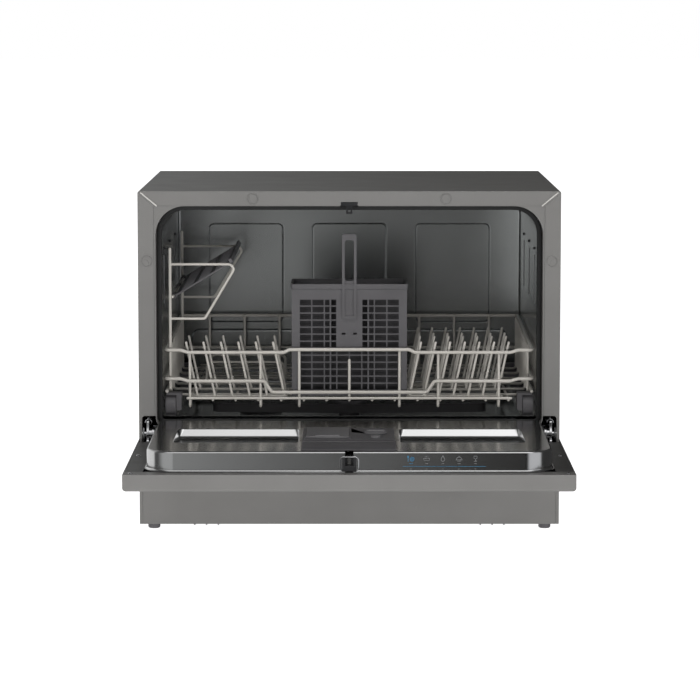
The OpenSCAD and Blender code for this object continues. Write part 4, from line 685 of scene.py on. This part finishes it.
def left_tine_wires():
    """Two rows of tines, and two folded arches behind them on bars of their own."""
    parts = [tine_row(LEFT_X, y, LEFT_PITCH, 6, -1) for y in (0.017, 0.092)]
    near, rise = LEFT_X - 0.004, TINE_BASE + ARCH_RISE
    for y in (0.150, 0.236):
        crown = y + 0.034
        parts.append(rack_wire([(near, y, TINE_BASE), (near, crown, rise), (near - ARCH_W, crown, rise),
                                (near - ARCH_W, y, TINE_BASE)], TINE_R, 0.009))
        parts.append(rack_wire([(LEFT_X + 0.002, y, TINE_BASE), (LEFT_X - 0.118, y, TINE_BASE)], WIRE_R))
    return join(parts)


def right_tine_wires():
    """Four rows of close tines for plates."""
    return join([tine_row(RIGHT_X, y, RIGHT_PITCH, 7, 1) for y in (0.017, 0.087, 0.127, 0.197)])


LOOP_H = 0.072
LOOP_NOSE = 0.0055
SHELF_DROP = 0.043


def cup_frame_wires():
    """Two loops on posts at the left side, and the wire that the cup shelf turns on. Each loop has a level
    top, a short nose and a front that runs back down at 27 degrees."""
    low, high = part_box("cup_frame")
    post_r = 0.002
    post = low.x + post_r
    ys = (low.y - FRONT - RACK_Y + post_r, high.y - FRONT - RACK_Y - post_r)
    top = high.z - 0.021
    corner = high.x - LOOP_NOSE - WIRE_R
    foot = corner - (LOOP_H - 0.006) * tan(radians(27))
    pivot, pivot_z = post + post_r + WIRE_R - SUNK, top - SHELF_DROP
    wires = []
    for y in ys:
        wires.append(rack_wire([(post, y, top), (corner, y, top), (corner + LOOP_NOSE, y, top - 0.006),
                                (foot, y, top - LOOP_H), (post, y, top - LOOP_H)], WIRE_R, 0.005))
        wires.append(rack_wire([(post, y, low.z + post_r), (post, y, high.z - post_r * 0.6)], post_r))
    wires.append(rack_wire([(pivot, ys[0] - 0.0011, pivot_z), (pivot, ys[1] + 0.0011, pivot_z)], WIRE_R))
    return join(wires)


def make_rack():
    """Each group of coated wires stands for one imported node."""
    for name, surface, node in (
            ("front_rails", rack_front_wires(), "rack_front"),
            ("rear_rails", rack_rear_wires(), "rack_rear"),
            ("side_rails", rack_side_wires(), "rack_sides"),
            ("floor_wires", rack_floor_wires(), "rack_floor"),
            ("left_plate_tines", left_tine_wires(), "left_tines"),
            ("right_plate_tines", right_tine_wires(), "right_tines"),
            ("cup_loops", cup_frame_wires(), "cup_frame")):
        piece(name, surface, COATED, "rack", [node], sharp=50)


# Door liner: one pressed sheet with a rim, round upper edge and two recesses

PAN_FRONT = PAN_LOW.y - FRONT + 0.003
PAN_REAR = -0.009
PAN_X = PAN_HIGH.x - 0.003
PAN_Z0 = PAN_LOW.z
PAN_Z1 = PAN_HIGH.z
PAN_EDGE = 0.0028
PAN_CORNER = 0.0345
PAN_FOOT = 0.0022
LIP = 0.003
RECESS_X = (0.063, 0.219)
RECESS_Y = (-0.215, -0.089)
RECESS_H = 0.0118
RECESS_R = 0.009
RECESS_HIGH_R = 0.002
RECESS_LOW_R = 0.010
RECESS_SLOPE = radians(54)
STEEP = 0.3
SLOT_W = 0.0052
SLOT_BACK = -0.282
LINER_T = 0.0008
DISP_LOW, DISP_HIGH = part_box("dispenser_body")


def liner_outline():
    """The liner's outline from one side of the latch slot all the way round to the other side."""
    points, normals = round_rect(-PAN_X, PAN_FRONT, PAN_X, PAN_REAR, PAN_CORNER, 0.009, steps=14)
    side = np.argmax(points[:, 1] < PAN_FRONT + 1e-9)
    order = np.roll(np.arange(len(points)), -(side + 1))
    down = np.array([[0.0, -1.0]])
    slot_right, slot_left = np.array([[SLOT_W, PAN_FRONT]]), np.array([[-SLOT_W, PAN_FRONT]])
    return np.vstack([slot_right, points[order], slot_left]), np.vstack([down, normals[order], down])


def liner_skirt(outline):
    """Rim, cove, wall and round upper edge carried round the outline. Cove and edge are quarter circles."""
    edge = [(PAN_EDGE * (cos(t) - 1), PAN_Z1 - PAN_EDGE * (1 - sin(t))) for t in np.linspace(0, pi / 2, 9)]
    sheet_z = PAN_Z0 + SHEET
    rim = [(LIP, PAN_Z0 + 0.0002), (LIP, sheet_z), (PAN_FOOT, sheet_z)]
    cove = [(PAN_FOOT - PAN_FOOT * sin(t), sheet_z + PAN_FOOT * (1 - cos(t)))
            for t in np.linspace(0.3, pi / 2, 5)]
    support = [(-PAN_EDGE - 0.001, PAN_Z1)]
    return moulding(outline, rim + cove + edge + support, lying, wrap=False)


def recess_profile():
    """From the liner's top down to a recess's floor as (offset, height): a small arc, a straight slope and a
    large arc that meets the floor level."""
    high_r, low_r, slope = RECESS_HIGH_R, RECESS_LOW_R, RECESS_SLOPE
    run = (RECESS_H - (high_r + low_r) * (1 - cos(slope))) / tan(slope)
    t = np.linspace(0, slope, 8)
    upper = [(-high_r * sin(a), PAN_Z1 - high_r * (1 - cos(a))) for a in t]
    shift = upper[-1][0] - run - low_r * sin(slope)
    lower = [(shift + low_r * sin(a), PAN_Z1 - RECESS_H + low_r * (1 - cos(a))) for a in t[::-1]]
    return [(0.001, PAN_Z1)] + upper + lower + [(shift - 0.001, PAN_Z1 - RECESS_H)]


def door_liner_sheet():
    """The skirt, and a flat top with two recesses. Across the door a recess's walls run in by the share
    STEEP of their profile, so its side walls are steep."""
    outline = liner_outline()
    top_edge = outline[0] + outline[1] * (-PAN_EDGE - 0.001)
    outer = np.vstack([top_edge, [[-SLOT_W, SLOT_BACK], [SLOT_W, SLOT_BACK]]])
    holes, parts = [], [liner_skirt(outline)]
    for x0, x1 in (RECESS_X, (-RECESS_X[1], -RECESS_X[0])):
        rings = []
        for out, height in recess_profile():
            ring = round_rect(x0 - out * STEEP, RECESS_Y[0] - out, x1 + out * STEEP, RECESS_Y[1] + out,
                              max(RECESS_R + out, 0.0015), steps=8)[0]
            rings.append(lying(ring, np.full(len(ring), height)))
            if len(rings) == 1:
                holes.append(ring)
        parts.append(grid(np.stack(rings)))
        parts.append(plate(ring, [], PAN_Z1 - RECESS_H, lying))
    disp = round_rect(DISP_LOW.x + 0.002, DISP_LOW.y - FRONT + 0.002, DISP_HIGH.x - 0.002,
                      DISP_HIGH.y - FRONT - 0.002, 0.002, steps=3)[0]
    parts.append(plate(outer, holes + [disp], PAN_Z1, lying))
    return join(parts)


def make_liner():
    """The pressed sheet, with its wall below and inside it."""
    piece("liner_sheet", door_liner_sheet(), LINER_STEEL, "door", ["door_liner"],
          shell=LINER_T, flat=True)


# Dispenser: the plate in front of its cup, in two steps, and the basket's rolled rim

DISP_PLATE_FRONT = -0.281
DISP_PLATE_STEP = -0.214
BASKET_H = 0.148
BASKET_D = 0.078


def raised_plate(x0, y0, x1, y1, low, high, r, edge=0.0005):
    """A thin plate with round corners and a round upper edge, its outline given in x and depth."""
    outline = round_rect(x0, y0, x1, y1, r, steps=6)
    top = [(-edge * (1 - cos(t)), high - edge * (1 - sin(t))) for t in np.linspace(0, pi / 2, 5)]
    return with_ends(moulding(outline, [(0, low)] + top, lying), len(outline[0]))


def make_dispenser_plate():
    """Two steps in front of the cup, the one at the liner's front edge lower."""
    x0, x1, rear = DISP_LOW.x - 0.0005, DISP_HIGH.x + 0.0005, DISP_LOW.y - FRONT - 0.0003
    low, corner = PAN_Z1 + 0.0002, 0.0025
    parts = [raised_plate(x0, DISP_PLATE_STEP, x1, rear, low, PAN_Z1 + 0.0018, corner),
             raised_plate(x0, DISP_PLATE_FRONT, x1, DISP_PLATE_STEP - 0.0002, low, PAN_Z1 + 0.0010, corner)]
    piece("dispenser_front_plate", join(parts), GREY, "door")


def make_basket_rim():
    """A rolled lip round the top of the basket: a band that ends above in a near half circle."""
    low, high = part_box("cutlery_basket")
    rim, front = low.z + BASKET_H, high.y - BASKET_D
    outline = round_rect(low.x, front - FRONT, high.x, high.y - FRONT, 0.0035, steps=6)
    inner, foot, roll = -0.0012, rim - 0.0070, 0.0014
    band = [(inner, foot), (0.0006, foot), (roll, rim - 0.0062), (0.0016, rim - 0.0020)]
    band += [(0.0002 + roll * cos(t), rim - 0.0012 + roll * sin(t)) for t in np.linspace(0.2, pi - 0.2, 7)]
    band += [(inner, rim - 0.0020), (inner, foot)]
    piece("basket_rim", moulding(outline, band, lying), GREY, "cutlery_basket")


# Tub: an arched shell with a coved back, pressed panels, and a rounded tray below the ledges

TUB_BACK = 0.428
FLANGE = TUB_LOW.y - FRONT
TUB_R = OPENING_R + 0.0005 - GASKET_W
TUB_X = OPEN_W - GASKET_W + 0.0005
TUB_TOP = OPEN_TOP - GASKET_W + 0.0005
TUB_T = 0.0008
LEDGE_Z = PAN_Z1
FLOOR_Z = TUB_LOW.z + SHEET
TRAY_X = TUB_X - 0.017
TRAY_CORNER, TRAY_HIGH_R, TRAY_LOW_R = 0.020, 0.003, 0.010
SUMP_HOLE = (0.0, 0.225, 0.056)
SALT_HOLE = (-0.125, 0.335, 0.029)
COVE = 0.004
PANEL_W, PANEL_H, PANEL_T = 0.108, 0.144, 0.0026
PANEL_TOP = TUB_TOP - 0.0465
PANEL_X = (-0.148, 0.0, 0.148)
GROOVE_W, GROOVE_R, GROOVE_D = 0.0026, 0.0006, 0.0042
STEP_Z = PANEL_TOP - PANEL_H - 0.009
STEP_R = 0.003
BEAD_X = (-0.216, -0.122, 0.203)
RIB_DEPTHS = (0.071, 0.194, 0.320)
RIB_L = 0.062
STUD_Z = TUB_TOP - 0.054


def arch(x, low, high, r, steps=14):
    """An upside-down U: up the right side, round both upper corners and down the left side."""
    a = np.linspace(0, pi / 2, steps + 1)
    n = np.column_stack([np.cos(a), np.sin(a)])
    right = np.array([x - r, high - r]) + r * n
    points = np.vstack([[[x, low]], right, right[::-1] * (-1, 1), [[-x, low]]])
    normals = np.vstack([[[1, 0]], n, n[::-1] * (-1, 1), [[-1, 0]]])
    return points, normals


def tub_back_wall(edge):
    """A flat wall inside the given edge, with three pressed panels that stand back by PANEL_T, each in a
    narrow V-shaped groove whose two lips are round."""
    r, turn = GROOVE_R, np.linspace(0, radians(86), 5)
    near = [(-r * sin(a), TUB_BACK + r * (1 - cos(a))) for a in turn]
    far = [(-GROOVE_W + r * sin(a), TUB_BACK + PANEL_T + r * (1 - cos(a))) for a in turn[::-1]]
    bottom = (-GROOVE_W / 2, TUB_BACK + PANEL_T + GROOVE_D)
    profile = [(r, TUB_BACK)] + near + [bottom] + far + [(-GROOVE_W - r, TUB_BACK + PANEL_T)]
    holes, parts = [], []
    for x in PANEL_X:
        panel = round_rect(x - PANEL_W / 2, PANEL_TOP - PANEL_H, x + PANEL_W / 2, PANEL_TOP, 0.008, steps=8)
        parts.append(moulding(panel, profile, upright))
        holes.append(panel[0] + panel[1] * profile[0][0])
        parts.append(plate(panel[0] + panel[1] * profile[-1][0], [], TUB_BACK + PANEL_T, upright))
    return parts + [plate(edge, holes, TUB_BACK, upright)]


def tub_tray():
    """Ledges round a tray whose walls are round above and below, and a floor with a hole for the sump and
    one for the salt container, each given as x, depth and radius."""
    tray = round_rect(-TRAY_X, FLANGE + SHEET, TRAY_X, TUB_BACK - 0.004, TRAY_CORNER, steps=8)
    r, deep, brim = TRAY_HIGH_R, TRAY_LOW_R, 0.0005
    top = [(-r * sin(t), LEDGE_Z - r * (1 - cos(t))) for t in np.linspace(0, pi / 2, 6)]
    bottom = [(-r - deep * (1 - cos(t)), FLOOR_Z + deep * (1 - sin(t))) for t in np.linspace(0, pi / 2, 7)]
    ledge = np.array([[-TUB_X, FLANGE], [TUB_X, FLANGE], [TUB_X, TUB_BACK], [-TUB_X, TUB_BACK]])
    floor = tray[0] + tray[1] * bottom[-1][0]
    holes = [circle(*SUMP_HOLE)[0], circle(*SALT_HOLE)[0]]
    return [moulding(tray, [(brim, LEDGE_Z)] + top + bottom, lying),
            plate(ledge, [tray[0] + tray[1] * brim], LEDGE_Z, lying),
            plate(floor, holes, FLOOR_Z, lying)]


def tub_low_step():
    """The part of the back wall under the panels, which stands forward with a round edge."""
    low_wall = round_rect(-TRAY_X + 0.002, LEDGE_Z + 0.0005, TRAY_X - 0.002, STEP_Z, 0.003, 0.012, steps=6)
    step = [(0, TUB_BACK)] + [(-STEP_R * (1 - cos(t)), TUB_BACK - 0.001 - STEP_R * sin(t))
                              for t in np.linspace(0, pi / 2, 6)]
    face = low_wall[0] + low_wall[1] * step[-1][0]
    return [moulding(low_wall, step, upright), plate(face, [], step[-1][1], upright)]


def tub_shell():
    """The arch, which flares at the flange and runs back to a quarter-round cove, the back wall, the tray
    and the low step."""
    outline = arch(TUB_X, LEDGE_Z, TUB_TOP, TUB_R)
    rings = [(0.004, FLANGE), (0.0012, FLANGE + 0.0006), (0, FLANGE + 0.002), (0, TUB_BACK - COVE - 0.001)]
    rings += [(-COVE * (1 - cos(t)), TUB_BACK - COVE + COVE * sin(t)) for t in np.linspace(0, pi / 2, 10)]
    walls = [moulding(outline, rings, upright, wrap=False)]
    return join(walls + tub_back_wall(outline[0] + outline[1] * -COVE) + tub_tray() + tub_low_step())


def tub_side_ribs():
    """Upright pressed ribs on both side walls, each a tube sunk into the wall in a paler steel as a painted
    highlight, with a dark stud over it.
    """
    ribs, studs = [], []
    for depth in RIB_DEPTHS:
        y, x = FRONT + depth, TUB_X + 0.0006
        high = STUD_Z - 0.010
        ribs.append(tube([(x, y, high - RIB_L), (x, y, high)], 0.0022, 14))
        studs.append(tube([(TUB_X - 0.0012, y, STUD_Z), (x, y, STUD_Z)], 0.0020, 14))
    return mirrored(join(ribs)), mirrored(join(studs))


def make_tub():
    """The shell with its wall outside, its side ribs and studs, and upright beads low on the back wall."""
    ribs, studs = tub_side_ribs()
    # the ribs' paler steel is a painted highlight
    piece("tub_side_ribs", ribs, MATT_RIB_STEEL_PAINTED_HIGHLIGHT, "cabinet")
    piece("tub_side_studs", studs, BLACK, "cabinet")
    y = FRONT + TUB_BACK - 0.0038
    beads = [tube([(x, y, LEDGE_Z + 0.012), (x, y, STEP_Z - 0.010)], 0.0011, 8) for x in BEAD_X]
    piece("tub_back_beads", join(beads), TUB_STEEL, "cabinet")
    piece("tub_shell", tub_shell(), TUB_STEEL, "cabinet", ["tub"], shell=-TUB_T, closed=False,
          flat=True)


def gasket_band():
    """A soft strip with round edges towards the door, carried round the opening."""
    outline = round_rect(-OPEN_W, OPEN_LOW, OPEN_W, OPEN_TOP, OPENING_LOW_R, OPENING_R, steps=12)
    low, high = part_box("tub_gasket")
    y0, y1 = low.y - FRONT, high.y - FRONT
    r, outside, inside = 0.0014, -0.0003, 0.0001 - GASKET_W
    t = np.linspace(0, pi / 2, 6)
    outer = [(outside - r * (1 - cos(a)), y0 + r * (1 - sin(a))) for a in t]
    inner = [(inside + r * (1 - sin(a)), y0 + r * (1 - cos(a))) for a in t]
    return moulding(outline, [(outside, y1)] + outer + inner + [(inside, y1), (outside, y1)], upright)


def make_gasket():
    """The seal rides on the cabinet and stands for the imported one."""
    piece("door_seal", gasket_band(), RUBBER, "cabinet", ["tub_gasket"])


# Small metal parts: the door's dark inner flange and screws, the frame's ribs and rings, the latch guard

FLANGE_Z = PAN_Z0 - 0.0002
FLANGE_T = 0.0007
SCREW_R = 0.0032
RIB_IN, RIB_DOWN = 0.0245, 0.0188
RING_R = 0.0068
RING_AT = ((HALF_W - 0.0115, TOP - 0.091), (0.1255, TOP - 0.0098))
GUARD_X = 0.0112


def screw_head(x, depth):
    """A low dome on the door's flange."""
    profile = [(0.0001, -0.0003), (SCREW_R, -0.0003), (0.0031, 0.0004), (0.0024, 0.0011), (0.0012, 0.0014),
               (0.0001, 0.0014)]
    return turned(profile, (x, FRONT + depth, FLANGE_Z), sides=20)


def make_door_edge():
    """A thin dark sheet between the liner's rim and the door's turned-up side, and two screws in it."""
    inner, outer = PAN_X + 0.0032, HALF_W - 0.0014
    front, rear = PAN_LOW.y - FRONT - 0.0162, -0.030
    sheet = round_rect(inner, front, outer, rear, 0.0006, steps=2)
    low, chamfer = FLANGE_Z - FLANGE_T, 0.0001
    edge = [(-chamfer, low), (0, low + chamfer), (0, FLANGE_Z - chamfer), (-chamfer, FLANGE_Z)]
    flange = with_ends(moulding(sheet, edge, lying), len(sheet[0]))
    piece("door_inner_flange", mirrored(flange), DARK_PAINT, "door")
    screws = join([screw_head(outer - 0.008, depth) for depth in (front + 0.012, -0.150)])
    piece("door_screws", mirrored(screws), BRIGHT_STEEL, "door")


def loop_wire(points, y, r, sides):
    """A wire along a closed line of points in x and z, at a place y."""
    path = np.column_stack([points[:, 0], np.full(len(points), y), points[:, 1]])
    return tube(np.vstack([path, path[:1]]), r, sides)


def make_frame_marks():
    """A folded rib across each upper corner of the front frame, in a paler paint as a painted highlight, and
    faint rings where it is fixed.
    """
    y = FRONT + 0.0006
    rib = tube([(HALF_W - 0.0045, y, TOP - 0.0022), (HALF_W - RIB_IN, y, TOP - RIB_DOWN)], 0.0010, 12)
    # the ribs are drawn in the paler paint as a painted highlight
    piece("frame_corner_ribs", mirrored(rib), RIB_PAINTED_HIGHLIGHT, "cabinet")
    rings = [loop_wire(circle(x, z, RING_R, 40)[0], y - 0.0002, 0.0005, 8) for x, z in RING_AT]
    piece("frame_rings", mirrored(join(rings)), PAINT, "cabinet")


def make_latch_guard():
    """A bright wire loop round the latch, half sunk in the liner's front wall. Its ends meet on a straight
    stretch."""
    low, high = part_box("latch_housing")
    loop = round_rect(-GUARD_X, low.z + 0.0002, GUARD_X, high.z - 0.0002, 0.0042, steps=6)[0]
    guard = loop_wire(np.roll(loop, -10, axis=0), FRONT + PAN_FRONT - 0.0001, 0.0008, 10)
    piece("latch_guard", guard, BRIGHT_STEEL, "door")


# Program symbols on the liner's front wall: plain line drawings, with a marker under each

ICON_X = (0.0749, 0.0940, 0.1138, 0.1335, 0.1534)
ICON_Z = 0.1368
DASH_Z = 0.1308
BAR_Z = 0.1274
TICK_Z = 0.1243
ICON_SIZE = 0.0042
CHOICE_X, CHOICE_L = 0.0653, 0.1005
LINE_R = 0.00028


def ring_line(x, z, r, start=0, end=360, steps=18):
    """Points on a circle in the unit square of an icon."""
    return [(x + r * cos(radians(a)), z + r * sin(radians(a))) for a in np.linspace(start, end, steps)]


ICONS = (
    [ring_line(0.35, -0.1, 0.6), ring_line(0.35, -0.1, 0.32), [(-0.8, -0.8), (-0.8, 0.8)],
     [(-0.95, 0.8), (-0.95, 0.3), (-0.65, 0.3), (-0.65, 0.8)]],
    [[(-0.9, 0.1), (-0.7, -0.5), (0.7, -0.5), (0.9, 0.1), (-0.9, 0.1)], [(-0.4, 0.4), (-0.4, 0.75)],
     [(0.0, 0.4), (0.0, 0.75)], [(0.4, 0.4), (0.4, 0.75)]],
    [[(0, 0.9), (0.45, 0.1)], ring_line(0, -0.2, 0.53, 32, -212), [(-0.45, 0.1), (0, 0.9)]],
    [ring_line(0, -0.3, 0.8, 0, 180), [(-0.9, -0.3), (0.9, -0.3)], [(0, 0.5), (0, 0.8)],
     [(-0.5, -0.65), (0.5, -0.65)]],
    [[(-0.45, 0.8), (-0.45, 0.2), (0, -0.1), (0.45, 0.2), (0.45, 0.8), (-0.45, 0.8)], [(0, -0.1), (0, -0.7)],
     [(-0.4, -0.7), (0.4, -0.7)]],
)


def printed(lines, x, z, size=ICON_SIZE, r=LINE_R):
    """Thin raised lines on the front wall, from drawings in a unit square."""
    y = FRONT + PAN_FRONT - r * 0.2
    return join([tube([(x + u * size, y, z + v * size) for u, v in line], r, 6) for line in lines])


def make_icons():
    """Grey symbols with a dash and a tick under each. The chosen one is blue, and so is the line below."""
    grey = [printed(icon, x, ICON_Z) for icon, x in zip(ICONS[1:], ICON_X[1:])]
    grey += [printed([[(-0.35, 0), (0.35, 0)]], x, DASH_Z) for x in ICON_X[1:]]
    grey += [printed([[(-0.2, 0), (0.2, 0)]], x, TICK_Z) for x in ICON_X]
    piece("program_symbols", join(grey), ICON_GREY, "door")
    blue = [printed(ICONS[0], ICON_X[0], ICON_Z), printed([[(-0.5, 0), (0.5, 0)]], ICON_X[0], DASH_Z),
            printed([[(0, 0), (1, 0)]], CHOICE_X, BAR_Z, CHOICE_L, LINE_R * 0.7)]
    piece("chosen_symbol", join(blue), ICON_BLUE, "door")


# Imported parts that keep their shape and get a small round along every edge

BASKET_WALL = 0.0024


def basket_grey_painted_shade():
    """The grey plastic, with painted shade that makes it darker between the walls of the basket."""
    low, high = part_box("cutlery_basket")
    material = GREY.copy()
    material.name = "basket_grey_painted_shade"
    wall = Vector((BASKET_WALL, BASKET_WALL, BASKET_WALL))
    front = Vector((low.x, high.y - BASKET_D, low.z))
    # painted shade between the basket's walls
    painted_shade_inside(material, front + wall, Vector((high.x, high.y, low.z + BASKET_H)) - wall, 0.6)
    return material


def make_formed_nodes():
    """The rounded copies, by finish, each with the width of its round."""
    for material, widths in (
            (PAINT, {"casing": 0.0004, "front_frame": 0.0004, "plinth": 0.0003, "door_panel": 0.0004,
                     "back_panel": 0.0003}),
            (basket_grey_painted_shade(), {"cutlery_basket": 0.0004}),
            (GREY, {"cup_shelf": 0.0005, "dispenser_body": 0.0005, "roller_brackets": 0.0006}),
            (BLACK, {"control_panel": 0.0005, "latch_housing": 0.0006, "latch_striker": 0.0005}),
            (MID_GREY, {"detergent_lid": 0.0005, "lid_catch": 0.0004, "rinse_cap": 0.0004}),
            (BRIGHT_STEEL, {"hinge_bracket_left": 0.0004, "hinge_bracket_right": 0.0004,
                            "door_arm_left": 0.0004, "door_arm_right": 0.0004})):
        for node, width in widths.items():
            softened(node, width, material)


# Room and light

FLOOR_REACH = 30.0


def soft_light(name, at, aim, size, power):
    """A rectangular softbox that looks at a point. Polished metal doesn't show it."""
    data = bpy.data.lights.new(name, "AREA")
    data.shape = "RECTANGLE"
    data.size, data.size_y = size
    data.energy = power
    obj = bpy.data.objects.new(name, data)
    bpy.context.scene.collection.objects.link(obj)
    obj.location = at
    obj.rotation_euler = (Vector(aim) - Vector(at)).to_track_quat("-Z", "Y").to_euler()
    obj.visible_glossy = False


def studio_world():
    """White behind everything that the camera sees. Bright metal mirrors a dim room instead: light to both
    sides with a dark part to the right of the camera and one behind each light part, and white above the
    camera's side. Soft even light falls on the rest."""
    world = bpy.data.worlds.new("studio")
    bpy.context.scene.world = world
    world.use_nodes = True
    tree = world.node_tree
    back = tree.nodes["Background"]
    toward = add(tree, "ShaderNodeTexCoord").outputs["Generated"]
    axis = add(tree, "ShaderNodeSeparateXYZ", {0: toward})

    x, y, z = (axis.outputs[name] for name in "XYZ")

    def turning(value, start, end, before, after):
        """One tone before start and another after end, with a smooth change between them."""
        share = add(tree, "ShaderNodeMapRange", {"Value": value, "From Min": start, "From Max": end},
                    interpolation_type="SMOOTHSTEP").outputs[0]
        return blended(tree, share, before, after)

    def grey(level):
        """A neutral tone."""
        return (level, level, level)

    cool = (0.52, 0.53, 0.53)
    near = turning(x, -0.115, 0.042, cool, (0.012, 0.011, 0.010))
    far_left = turning(y, -0.10, 0.05, turning(y, -0.75, -0.30, cool, grey(0.10)), grey(0.95))
    far_right = turning(y, -0.40, -0.20, (0.75, 0.76, 0.78), grey(0.05))
    low = turning(x, 0.15, 0.40, turning(x, -0.25, -0.45, near, far_left), far_right)
    across = add(tree, "ShaderNodeMath", {0: x}, operation="ABSOLUTE").outputs[0]
    above = turning(y, -0.31, -0.17, turning(x, -0.06, 0.06, grey(1.1), grey(1.8)), grey(0.06))
    mirror = turning(z, 0.35, 0.85, low, turning(across, 0.35, 0.60, above, grey(0.08)))
    path = add(tree, "ShaderNodeLightPath")
    room = blended(tree, path.outputs["Is Glossy Ray"], grey(0.25), mirror)
    tree.links.new(blended(tree, path.outputs["Is Camera Ray"], room, grey(1.0)), back.inputs["Color"])


def make_room():
    """A pale floor that glows, as a lit sweep does, and softboxes over, beside and before the machine."""
    floor = bpy.data.meshes.new("floor")
    corners = [(-1, -1), (1, -1), (1, 1), (-1, 1)]
    floor.from_pydata([(FLOOR_REACH * u, FLOOR_REACH * v, 0) for u, v in corners], [], [(0, 1, 2, 3)])
    obj = bpy.data.objects.new("floor", floor)
    bpy.context.scene.collection.objects.link(obj)
    pale = coated("pale_floor", (0.86, 0.86, 0.86), (0.90, 0.90, 0.90), (0.8, 0.9), 200.0, wear=0.0)
    shader = pale.node_tree.nodes["Principled BSDF"]
    shader.inputs["Emission Color"].default_value = (1.0, 1.0, 1.0, 1.0)
    shader.inputs["Emission Strength"].default_value = 1.0
    shader.inputs["Specular IOR Level"].default_value = 0.0
    floor.materials.append(pale)
    obj.visible_glossy = False
    studio_world()
    soft_light("overhead", (0.0, -1.2, 2.5), (0, -0.3, 0.2), (2.4, 0.9), 17)
    soft_light("front", (-0.5, -3.4, 2.0), (0, 0, 0.2), (2.6, 1.2), 4)
    soft_light("left", (-2.0, -1.9, 0.7), (0, -0.2, 0.2), (0.35, 1.4), 7)
    soft_light("right", (2.0, -1.9, 0.7), (0, -0.2, 0.2), (0.30, 1.4), 9)
    soft_light("low_fill", (0.0, -4.4, 0.19), (0, 0, 0.12), (3.2, 0.3), 92)


def make_camera():
    """A long lens at a distance, a little above the machine."""
    data = bpy.data.cameras.new("photograph")
    data.lens = CAMERA_LENS
    data.sensor_width = 36.0
    data.clip_end = 100.0
    obj = bpy.data.objects.new("photograph", data)
    bpy.context.scene.collection.objects.link(obj)
    obj.location = CAMERA_AT
    obj.rotation_euler = (pi / 2 - CAMERA_PITCH, 0, 0)
    bpy.context.scene.camera = obj
    bpy.context.scene.view_settings.view_transform = "Standard"


make_camera()
make_room()
dress_nodes()
make_rack()
make_liner()
make_dispenser_plate()
make_basket_rim()
make_tub()
make_gasket()
make_door_edge()
make_frame_marks()
make_latch_guard()
make_icons()
make_formed_nodes()
